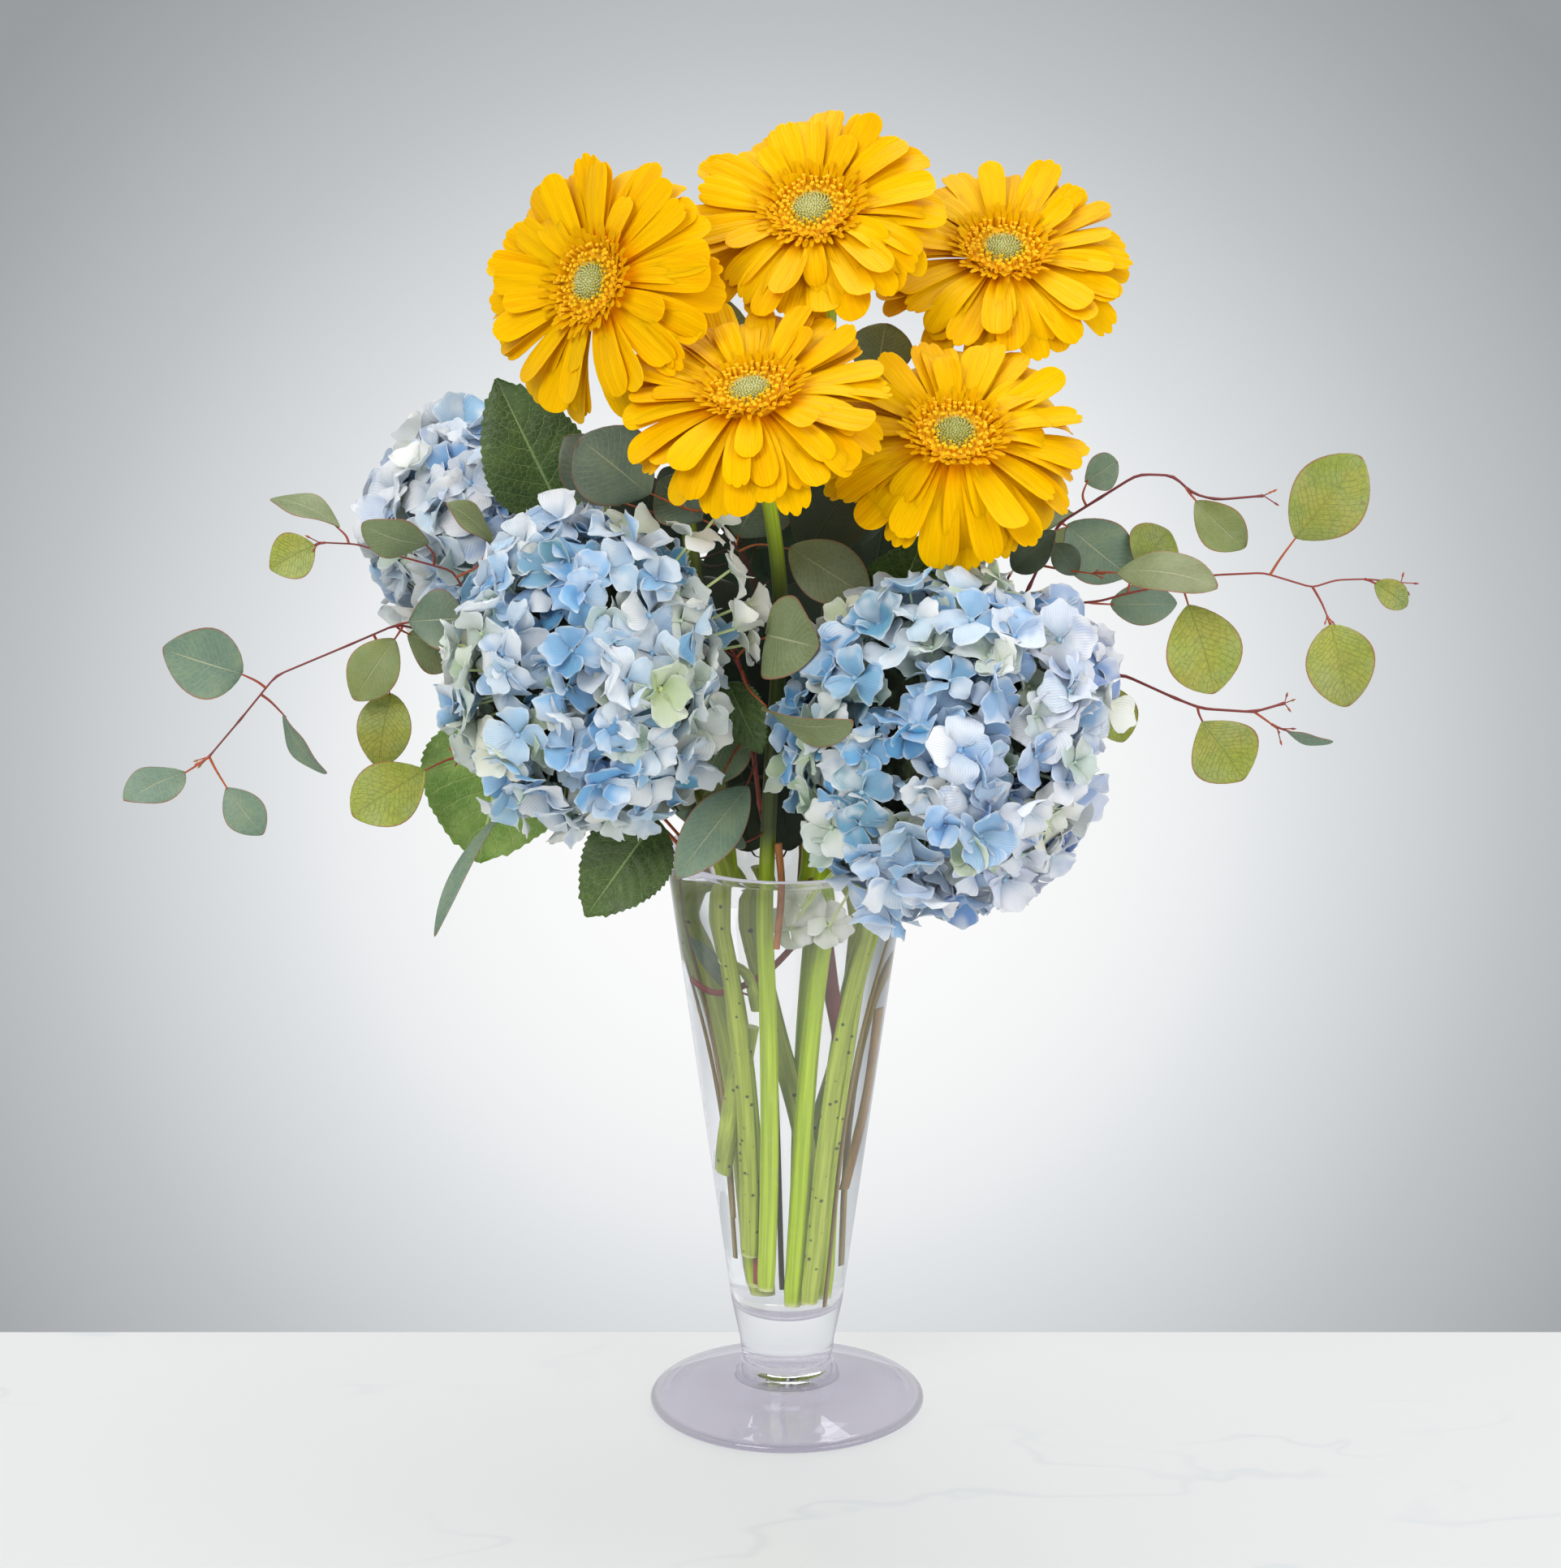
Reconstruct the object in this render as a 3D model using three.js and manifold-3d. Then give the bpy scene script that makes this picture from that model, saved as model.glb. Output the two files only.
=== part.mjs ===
// A footed glass vase of water with a mixed bunch of cut flowers: five yellow gerberas, three blue
// hydrangea heads with their serrated leaves, and seven sprays of silver dollar eucalyptus.
// Millimetres. +Z is up, +X is to the right and +Y is away from the front.
// The origin is the centre of the foot's underside.
import * as THREE from "three";
import { mergeVertices } from "three/addons/utils/BufferGeometryUtils.js";
import Module from "manifold-3d";

const wasm = await Module();
wasm.setup();

// Clearance that touching pieces keep
const GAP = 0.35;

// Vase: a domed hollow foot, a short solid stub and a straight cone with a rounded rim
const FOOT_RADIUS = 62.5;
const FOOT_RING = 4;
const FOOT_EDGE = 3.9;
const HOLLOW_TOP = 12.5;
const COLLAR_RADIUS = 22;
const COLLAR_Z = 18;
const NECK_RADIUS = 19.6;
const NECK_Z = 22.5;
const STUB_RADIUS = 21.4;
const STUB_Z = 31;
const BOWL_RADIUS = 25.2;
const BOWL_Z = 50;
const RIM_RADIUS = 54.3;
const RIM_Z = 264;
const WALL = 3;
const FLOOR_Z = 45;
const FLOOR_EDGE_Z = 53;
const WATER_Z = 258;
const VASE_SIDES = 24;

// Stems run straight from the bottom up to BEND_Z, drawn in and turned about the vase's axis
const BOTTOM_Z = 50;
const BEND_Z = 236;
const BOTTOM_SHARE = 0.36;
const BOTTOM_TURN = (-25 * Math.PI) / 180;
const STEM_STEP = 30;
const STEM_SIDES = 6;

// Gerberas
const GERBERA_STEM_RADIUS = 3.4;
const RAY_REACH = 58.5;
const INNER_RAY_REACH = 43;
const RAY_CURL = 12;
const RAY_ROOT = 12;
const OUTER_RAYS = 14;
const INNER_RAYS = 9;
const RAY_WIDTH = 14.6;
const RAY_THICKNESS = 0.9;
const EYE_RADIUS = 8.4;

// Hydrangeas
const HYDRANGEA_STEM_RADIUS = 3.8;
const CORE_SHARE = 0.76;
const FLORET_REACH = 21;
const FLORET_DEPTH = 26;
const FLORET_NOTCH = 0.64;
const HYDRANGEA_LEAF_THICKNESS = 1;
const PETIOLE_RADIUS = 1.6;

// Eucalyptus
const SPRAY_RADIUS = 1.5;
const TWIG_RADIUS = 1.1;
const TWIG_STEP = 28;
const TWIG_SIDES = 5;
const LEAF_THICKNESS = 0.9;
const PETIOLE_LENGTH = 6;
const PETIOLE_WIDTH = 1.8;

const vec = (p) => (p.isVector3 ? p.clone() : new THREE.Vector3(...p));
const FRONT = new THREE.Vector3(0, -0.96, 0.27).normalize();

// ---------------------------------------------------------------- solids

function solidFrom(vertProperties, triVerts) {
  return new wasm.Manifold(new wasm.Mesh({ numProp: 3, vertProperties, triVerts }));
}

function solidOf(geometry) {
  geometry.deleteAttribute("normal");
  geometry.deleteAttribute("uv");
  const merged = mergeVertices(geometry, 1e-4);
  return solidFrom(merged.attributes.position.array, new Uint32Array(merged.index.array));
}

function solidOfPoints(points, faces) {
  return solidFrom(new Float32Array(points.flatMap((p) => p.toArray())), new Uint32Array(faces.flat()));
}

function joined(solids) {
  return solids.reduce((whole, solid) => whole.add(solid));
}

// A solid of revolution about the Z axis
function lathe(profile, sides) {
  return new THREE.LatheGeometry(profile, sides).rotateX(Math.PI / 2);
}

function latheOf(pairs, sides) {
  return lathe(
    pairs.map(([r, z]) => new THREE.Vector2(r, z)),
    sides,
  );
}

// A curve that runs straight between corners and is stepped corner by corner
class CornerCurve extends THREE.Curve {
  constructor(corners) {
    super();
    this.corners = corners;
  }
  getPoint(share) {
    const place = Math.min(Math.max(share, 0), 1) * (this.corners.length - 1);
    const first = Math.min(Math.floor(place), this.corners.length - 2);
    return this.corners[first].clone().lerp(this.corners[first + 1], place - first);
  }
  getPointAt(share) {
    return this.getPoint(share);
  }
  getTangentAt(share) {
    return this.getTangent(share);
  }
}

// Corners about a step apart along a smooth curve through the points
function cornersAlong(points, step) {
  const path = new THREE.CatmullRomCurve3(points.map(vec), false, "centripetal");
  return path.getSpacedPoints(Math.max(2, Math.round(path.getLength() / step)));
}

function tube(corners, radius, sides) {
  const section = [];
  for (let i = 0; i < sides; i += 1) {
    const angle = (2 * Math.PI * i) / sides;
    section.push(new THREE.Vector2(radius * Math.cos(angle), radius * Math.sin(angle)));
  }
  const extrudePath = new CornerCurve(corners);
  const options = { steps: corners.length - 1, bevelEnabled: false, extrudePath };
  return solidOf(new THREE.ExtrudeGeometry(new THREE.Shape(section), options));
}

// A closed blade from a root point through rows of points across it to a tip point.
// Both faces are split into the same triangles.
function blade(root, rows, tip, thickness) {
  const width = rows[0].across.length;
  const ring = 2 * width;
  const points = [root];
  for (const { across, normal } of rows) {
    const half = normal.clone().multiplyScalar(thickness / 2);
    points.push(...across.map((p) => p.clone().add(half)));
    points.push(...across.toReversed().map((p) => p.clone().sub(half)));
  }
  points.push(tip);
  const end = points.length - 1;
  const faces = [];
  for (let i = 0; i < ring; i += 1) {
    const next = (i + 1) % ring;
    const underside = i >= width && i < ring - 1;
    faces.push([0, 1 + next, 1 + i]);
    faces.push([end - ring + i, end - ring + next, end]);
    for (let first = 1; first < end - ring; first += ring) {
      const [a, b, c, d] = [first + i, first + next, first + ring + next, first + ring + i];
      faces.push(...(underside ? [[a, b, d], [b, c, d]] : [[a, b, c], [a, c, d]]));
    }
  }
  return solidOfPoints(points, faces);
}

// ---------------------------------------------------------------- nodes that keep clear of each other

const nodes = new Map();

function grow(name, solid) {
  nodes.set(name, nodes.has(name) ? nodes.get(name).add(solid) : solid);
}

function touches(a, b) {
  const p = a.boundingBox();
  const q = b.boundingBox();
  const apart = [0, 1, 2].some((k) => p.max[k] < q.min[k] || q.max[k] < p.min[k]);
  return !apart && !a.intersect(b).isEmpty();
}

function isClear(name, solid) {
  return [...nodes].every(([other, placed]) => other === name || !touches(solid, placed));
}

// The first variant whose form with the clearance added touches no other node
function firstClear(name, variants, make) {
  const found = variants.find((variant) => isClear(name, make(variant, GAP)));
  return found === undefined ? null : make(found, 0);
}

// A repeatable draw between 0 and 1
function seeded(seed) {
  let state = seed;
  return () => {
    state = (state * 16807) % 2147483647;
    return state / 2147483647;
  };
}

// ---------------------------------------------------------------- vase and water

const coneSlope = (RIM_RADIUS - BOWL_RADIUS) / (RIM_Z - BOWL_Z);
const innerRadius = (z) => BOWL_RADIUS - WALL + coneSlope * (z - BOWL_Z);

function vaseSolid() {
  const outline = new THREE.Path();
  outline.moveTo(0, HOLLOW_TOP);
  outline.quadraticCurveTo(36, HOLLOW_TOP, FOOT_RADIUS - FOOT_RING - 1.5, 0);
  outline.lineTo(FOOT_RADIUS - 1.5, 0);
  outline.quadraticCurveTo(FOOT_RADIUS + 1.5, FOOT_EDGE / 2, FOOT_RADIUS - 1.5, FOOT_EDGE);
  outline.quadraticCurveTo(42, 12, COLLAR_RADIUS, COLLAR_Z);
  outline.quadraticCurveTo(NECK_RADIUS, NECK_Z, STUB_RADIUS, STUB_Z);
  outline.lineTo(BOWL_RADIUS, BOWL_Z);
  outline.lineTo(RIM_RADIUS, RIM_Z - 1.5);
  outline.quadraticCurveTo(RIM_RADIUS - WALL / 2, RIM_Z + 1.5, innerRadius(RIM_Z), RIM_Z - 1.5);
  outline.lineTo(innerRadius(FLOOR_EDGE_Z), FLOOR_EDGE_Z);
  outline.quadraticCurveTo(19.5, FLOOR_Z, 0, FLOOR_Z);
  return solidOf(lathe(outline.getPoints(3), VASE_SIDES));
}

function waterSolid() {
  const outline = new THREE.Path();
  outline.moveTo(0, FLOOR_Z + GAP);
  outline.quadraticCurveTo(19.5 - GAP, FLOOR_Z + GAP, innerRadius(FLOOR_EDGE_Z) - GAP, FLOOR_EDGE_Z + GAP);
  outline.lineTo(innerRadius(WATER_Z) - GAP, WATER_Z);
  outline.lineTo(0, WATER_Z);
  return solidOf(lathe(outline.getPoints(3), VASE_SIDES));
}

// ---------------------------------------------------------------- stems

// Where a stem that leaves the mouth at [x, y] is at height z inside the vase
function insideVase([x, y], z) {
  const share = (z - BOTTOM_Z) / (RIM_Z - BOTTOM_Z);
  const drawnIn = (1 - share) * BOTTOM_SHARE;
  const cos = drawnIn * Math.cos(BOTTOM_TURN) + share;
  const sin = drawnIn * Math.sin(BOTTOM_TURN);
  return [x * cos - y * sin, x * sin + y * cos, z];
}

// Corners of a stem: straight through the water, then along a smooth curve
function stemCorners({ mouth, endZ, stem }, above = []) {
  const points = [insideVase(mouth, BEND_Z), [...mouth, RIM_Z], ...stem, ...above];
  return [vec(insideVase(mouth, endZ)), ...cornersAlong(points, STEM_STEP)];
}

// The stems with a little added radius, for the holes in the water
const waterHoles = [];

function growStem(name, corners, radius) {
  grow(name, tube(corners, radius, STEM_SIDES));
  waterHoles.push(tube(corners, radius + GAP, STEM_SIDES));
}

// ---------------------------------------------------------------- leaves

// Outlines as pairs of share along the blade and share of the half width
const EUCALYPTUS_OUTLINE = [[0, 0.07], [0.3, 0.96], [0.72, 0.84]];
const HYDRANGEA_OUTLINE = [
  [0, 0.05], [0.13, 0.66], [0.26, 0.94], [0.4, 0.88], [0.54, 1], [0.7, 0.72], [0.84, 0.56],
];

function leaf(base, tip, width, roll = 0) {
  return { base: vec(base), tip: vec(tip), width, roll, bow: 0.08, cup: 0 };
}

function hydrangeaLeaf(base, tip, width, roll = 0) {
  return { ...leaf(base, tip, width, roll), cup: 0.14 };
}

// Direction, face normal and right-hand side of a leaf that faces the front before its roll
function leafFrame({ base, tip, roll, faces = FRONT }) {
  const along = tip.clone().sub(base).normalize();
  const normal = faces.clone().addScaledVector(along, -faces.dot(along)).normalize();
  normal.applyAxisAngle(along, (roll * Math.PI) / 180);
  return { along, normal, side: along.clone().cross(normal) };
}

function leafSolid(spec, outline, attach, thickness, gap) {
  const { along, normal, side } = leafFrame(spec);
  const length = spec.base.distanceTo(spec.tip);
  const row = (centre, half, dip) => {
    const across = [-half, half].map((x) => centre.clone().addScaledVector(side, x));
    if (spec.cup) across.splice(1, 0, centre.clone().addScaledVector(normal, -dip));
    return { across, normal };
  };
  const petiole = PETIOLE_WIDTH / 2 + gap;
  const rows = [row(attach, petiole, 0)];
  for (const [share, width] of outline) {
    const half = (spec.width / 2) * width + gap;
    const centre = spec.base.clone().addScaledVector(along, length * share);
    centre.addScaledVector(normal, spec.bow * length * 4 * share * (1 - share));
    rows.push(row(centre, Math.max(half, petiole), half * spec.cup));
  }
  const toBase = spec.base.clone().sub(attach).normalize();
  const root = attach.clone().addScaledVector(toBase, -0.8);
  const tip = spec.tip.clone().addScaledVector(along, gap);
  return blade(root, rows, tip, thickness + 2 * gap);
}

// The point of the routes' centre lines nearest to a place
function nearestOn(routes, place) {
  let best = null;
  for (const corners of routes) {
    for (let i = 1; i < corners.length; i += 1) {
      const line = new THREE.Line3(corners[i - 1], corners[i]);
      const point = line.closestPointToPoint(place, true, new THREE.Vector3());
      if (!best || point.distanceTo(place) < best.distanceTo(place)) best = point;
    }
  }
  return best;
}

// Small turns of a leaf about where it grows from, in degrees to the side and up, nearest first
const LEAF_TURNS = [
  [0, 0], [8, 0], [-8, 0], [0, 8], [0, -8], [14, 8], [-14, 8], [14, -8], [-14, -8],
  [22, 0], [-22, 0], [0, 20], [0, -20], [32, 14], [-32, 14], [32, -14], [-32, -14],
];

function turned(spec, attach, [sideways, upward]) {
  const { normal, side } = leafFrame(spec);
  const turn = (p) =>
    p
      .clone()
      .sub(attach)
      .applyAxisAngle(normal, (sideways * Math.PI) / 180)
      .applyAxisAngle(side, (upward * Math.PI) / 180)
      .add(attach);
  return { ...spec, base: turn(spec.base), tip: turn(spec.tip) };
}

function growLeaves(name, routes, leaves, outline, thickness) {
  leaves.forEach((spec, index) => {
    const along = spec.tip.clone().sub(spec.base).normalize();
    const attach = nearestOn(routes, spec.base.clone().addScaledVector(along, -PETIOLE_LENGTH));
    const make = (turn, gap) => leafSolid(turned(spec, attach, turn), outline, attach, thickness, gap);
    const solid = firstClear(name, LEAF_TURNS, make);
    if (!solid) throw new Error(`${name}: leaf ${index} is not clear of its neighbours`);
    grow(name, solid);
  });
}

// Twigs start at the nearest point of the stem or of an earlier twig
function growTwigs(name, routes, twigs, radius) {
  for (const twig of twigs) {
    const route = cornersAlong([nearestOn(routes, vec(twig[0])), ...twig.slice(1)], TWIG_STEP);
    grow(name, tube(route, radius, TWIG_SIDES));
    routes.push(route);
  }
}

// ---------------------------------------------------------------- gerberas

// The face's centre, how far it turns to the right and lifts from the front, how far the rays of its
// rear side rise and those of its front side droop (all in degrees), and the stem
const GERBERAS = [
  {
    centre: [-81.6, -30, 521], turn: -43, lift: 23, raise: 10, droop: 24,
    mouth: [-26, -8], endZ: 58, stem: [[-44, -2, 420]],
  },
  {
    centre: [11, 5, 545.6], turn: -14, lift: 50, raise: 4, droop: 2,
    mouth: [10, 6], endZ: 50, stem: [[15, 26, 420]],
  },
  {
    centre: [93.6, 35, 523.2], turn: 5, lift: 59, raise: 4, droop: 9,
    mouth: [28, 16], endZ: 52, stem: [[66, 44, 400]],
  },
  {
    centre: [-15.3, -70, 480.8], turn: -20, lift: 66, raise: 13, droop: 19,
    mouth: [-9, -38], endZ: 60, stem: [[-7, -41, 310], [-3, -40, 385]],
  },
  {
    centre: [70.4, -50, 459.2], turn: 3, lift: 57, raise: 5, droop: 30,
    mouth: [16, -22], endZ: 52, stem: [[26, -13, 312], [48, -6, 370]],
  },
];

// Local frame of a gerbera: its axis, the rearmost direction across its face and the one beside it
function gerberaFrame({ centre, turn, lift, raise, droop }) {
  const [yaw, pitch] = [(turn * Math.PI) / 180, (lift * Math.PI) / 180];
  const level = Math.cos(pitch);
  const axis = new THREE.Vector3(Math.sin(yaw) * level, -Math.cos(yaw) * level, Math.sin(pitch));
  const rear = axis.clone().multiplyScalar(FRONT.dot(axis)).sub(FRONT).normalize();
  return { centre: vec(centre), axis, rear, beside: axis.clone().cross(rear), raise, droop };
}

// A solid of revolution about a gerbera's axis, with its profile as radius and height pairs
function aboutAxis(frame, profile, sides) {
  const geometry = latheOf(profile, sides);
  const place = new THREE.Matrix4().makeBasis(frame.rear, frame.beside, frame.axis);
  place.setPosition(frame.centre);
  return solidOf(geometry.applyMatrix4(place));
}

// One ray: angle round the axis from the rear, reach, height of its root and rise in degrees.
// It bends down along its length by RAY_CURL.
function raySolid(frame, { angle, reach, height, width }, { rise, share }, gap) {
  const { raise, droop } = frame;
  const out = frame.rear.clone().multiplyScalar(Math.cos(angle));
  out.addScaledVector(frame.beside, Math.sin(angle));
  const across = frame.axis.clone().cross(out);
  const lifted = rise + RAY_CURL + (raise - droop) / 2 + ((raise + droop) / 2) * Math.cos(angle);
  const length = (reach - RAY_ROOT) * share;
  const at = (s) => {
    const slope = ((lifted - RAY_CURL * s) * Math.PI) / 180;
    return {
      point: frame.centre
        .clone()
        .addScaledVector(out, RAY_ROOT + length * s * Math.cos(slope))
        .addScaledVector(frame.axis, height + length * s * Math.sin(slope)),
      normal: frame.axis.clone().multiplyScalar(Math.cos(slope)).addScaledVector(out, -Math.sin(slope)),
    };
  };
  const row = (s, half) => {
    const { point, normal } = at(s);
    return { across: [half, -half].map((x) => point.clone().addScaledVector(across, x)), normal };
  };
  const rows = [row(0.26, width * 0.3 + gap), row(0.84, width * 0.5 + gap)];
  const root = frame.centre.clone().addScaledVector(out, RAY_ROOT - 5).addScaledVector(frame.axis, height);
  return blade(root, rows, at(1 + gap / length).point, RAY_THICKNESS + 2 * gap);
}

const RAY_VARIANTS = [
  [0, 1], [-7, 1], [7, 1], [-14, 1], [14, 1], [-22, 1], [22, 1], [-7, 0.8], [14, 0.8], [-22, 0.8], [30, 0.8],
  [-14, 0.62], [22, 0.62],
].map(([rise, share]) => ({ rise, share }));

function growBloom(index, frame) {
  const name = `gerbera_bloom_${index}`;
  const disc = [[0, -6], [10, -6], [15.5, -1.5], [17.5, 3.2], [13, 4.6], [9, 3.6], [8.8, 1.2], [0, 1.2]];
  grow(name, aboutAxis(frame, disc, 12));
  const layers = [
    { count: OUTER_RAYS, reach: RAY_REACH, height: -2.6, width: RAY_WIDTH, lift: 0 },
    { count: INNER_RAYS, reach: INNER_RAY_REACH, height: 0.8, width: RAY_WIDTH - 1, lift: 12 },
  ];
  const draw = seeded(107 + index);
  const rays = [];
  for (const { count, reach, height, width, lift } of layers) {
    for (let i = 0; i < count; i += 1) {
      const angle = (2 * Math.PI * (i + 0.25 * draw())) / count;
      const ray = { angle, reach: reach * (0.95 + 0.08 * draw()), height, width };
      const variants = RAY_VARIANTS.map((v) => ({ ...v, rise: v.rise + lift }));
      const solid = firstClear(name, variants, (variant, gap) => raySolid(frame, ray, variant, gap));
      if (solid) rays.push(solid);
    }
  }
  grow(name, joined(rays));
}

function growGerberaStem(index, spec, frame) {
  const name = `gerbera_stem_${index}`;
  const onAxis = (height) => frame.centre.clone().addScaledVector(frame.axis, height);
  growStem(name, stemCorners(spec, [onAxis(-45), onAxis(-13)]), GERBERA_STEM_RADIUS);
  const calyx = [[0, -19], [3.6, -19], [7.6, -12], [9.6, -6 - GAP], [0, -6 - GAP]];
  grow(name, aboutAxis(frame, calyx, 8));
}

function growEye(index, frame) {
  const foot = 1.2 + GAP;
  const eye = [[0, foot], [EYE_RADIUS, foot], [EYE_RADIUS - 0.6, 3.2], [4.6, 4.8], [0, 5.2]];
  grow(`gerbera_eye_${index}`, aboutAxis(frame, eye, 10));
}

// ---------------------------------------------------------------- hydrangeas

const HYDRANGEAS = [
  {
    name: "left", centre: [-85.6, -62, 358.5], radii: [64, 60, 75], florets: 30, seed: 11,
    mouth: [-28, -33], endZ: 76, stem: [[-50, -43, 305]],
    petioles: [[[-38, -37, 284], [-80, -2, 304], [-116, 4, 322]]],
    leaves: [
      hydrangeaLeaf([-118, 3, 320], [-131, -20, 269], 48),
      hydrangeaLeaf([-56, -46, 291], [-87, -62, 251], 38),
    ],
  },
  {
    name: "right", centre: [67.9, -78, 332.1], radii: [76.5, 76.5, 76.5], florets: 35, seed: 12,
    mouth: [37, -24], endZ: 54, stem: [[47, -40, 292]],
    petioles: [[[42, -31, 276], [36, -20, 330], [43, -23, 370]]],
    leaves: [hydrangeaLeaf([44, -24, 374], [58, -44, 415], 36)],
  },
  {
    name: "back", centre: [-134.4, 60, 395.3], radii: [50, 50, 50], florets: 19, seed: 13,
    mouth: [-32, 26], endZ: 50, stem: [[-70, 42, 318]],
    petioles: [
      [[-84, 46, 336], [-90, 30, 374], [-97, 22, 404]],
      [[-80, 45, 330], [-88, 66, 342], [-98, 84, 348]],
    ],
    leaves: [
      hydrangeaLeaf([-98, 22, 408], [-127, 24, 470], 46),
      hydrangeaLeaf([-100, 88, 348], [-110, 134, 330], 44, 40),
    ],
  },
];

// A floret of four petals on a four-sided cone that reaches into the core.
// The rim runs notch, petal corner, petal corner, four times round.
function floretSolid(head, outward, spin, size, gap) {
  const radii = vec(head.radii);
  const surface = vec(head.centre).add(outward.clone().multiply(radii));
  const normal = outward.clone().divide(radii).normalize();
  const side = new THREE.Vector3(-normal.y, normal.x, 0.1).cross(normal).normalize();
  const other = normal.clone().cross(side);
  const at = (radius, angle, height) =>
    surface
      .clone()
      .addScaledVector(side, radius * Math.cos(angle))
      .addScaledVector(other, radius * Math.sin(angle))
      .addScaledVector(normal, height);
  const points = [at(0, 0, gap - 2), at(0, 0, -FLORET_DEPTH - gap)];
  const faces = [];
  for (let petal = 0; petal < 4; petal += 1) {
    const start = spin + (petal * Math.PI) / 2;
    points.push(at(FLORET_NOTCH * size + gap, start, -3.2 - gap));
    points.push(at(size + gap, start + 0.44, gap), at(size + gap, start + 1.13, gap));
    const notch = 2 + 3 * petal;
    const next = 2 + 3 * ((petal + 1) % 4);
    faces.push([0, notch, notch + 1], [0, notch + 1, notch + 2], [0, notch + 2, next]);
    faces.push([notch, notch + 2, notch + 1], [notch, next, notch + 2], [1, next, notch]);
  }
  return solidOfPoints(points, faces);
}

function coreSolid({ centre, radii }, gap) {
  const [x, y, z] = radii.map((r) => r * CORE_SHARE + gap);
  const geometry = new THREE.IcosahedronGeometry(1, 1).scale(x, y, z);
  return solidOf(geometry.translate(...centre));
}

function growHydrangeaStem(spec) {
  const name = `hydrangea_stem_${spec.name}`;
  spec.routes = [stemCorners(spec, [spec.centre])];
  growStem(name, spec.routes[0], HYDRANGEA_STEM_RADIUS);
  nodes.set(name, nodes.get(name).subtract(coreSolid(spec, 2 * GAP)));
  growTwigs(name, spec.routes, spec.petioles, PETIOLE_RADIUS);
}

function growHydrangeaHead(spec) {
  const name = `hydrangea_head_${spec.name}`;
  grow(name, coreSolid(spec, 0));
  const draw = seeded(spec.seed);
  const sizes = [1, 0.86, 0.7, 0.56];
  const florets = [];
  for (let i = 0; i < spec.florets; i += 1) {
    const height = 1 - (2 * (i + 0.5)) / spec.florets;
    const round = i * Math.PI * (3 - Math.sqrt(5)) + 0.3 * draw();
    const level = Math.sqrt(1 - height * height);
    const outward = new THREE.Vector3(level * Math.cos(round), level * Math.sin(round), height);
    const spin = draw() * Math.PI;
    const size = FLORET_REACH * (0.94 + 0.12 * draw());
    const make = (share, gap) => floretSolid(spec, outward, spin, size * share, gap);
    const solid = firstClear(name, sizes, make);
    if (solid) florets.push(solid);
  }
  grow(name, joined(florets));
}

// ---------------------------------------------------------------- eucalyptus

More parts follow.
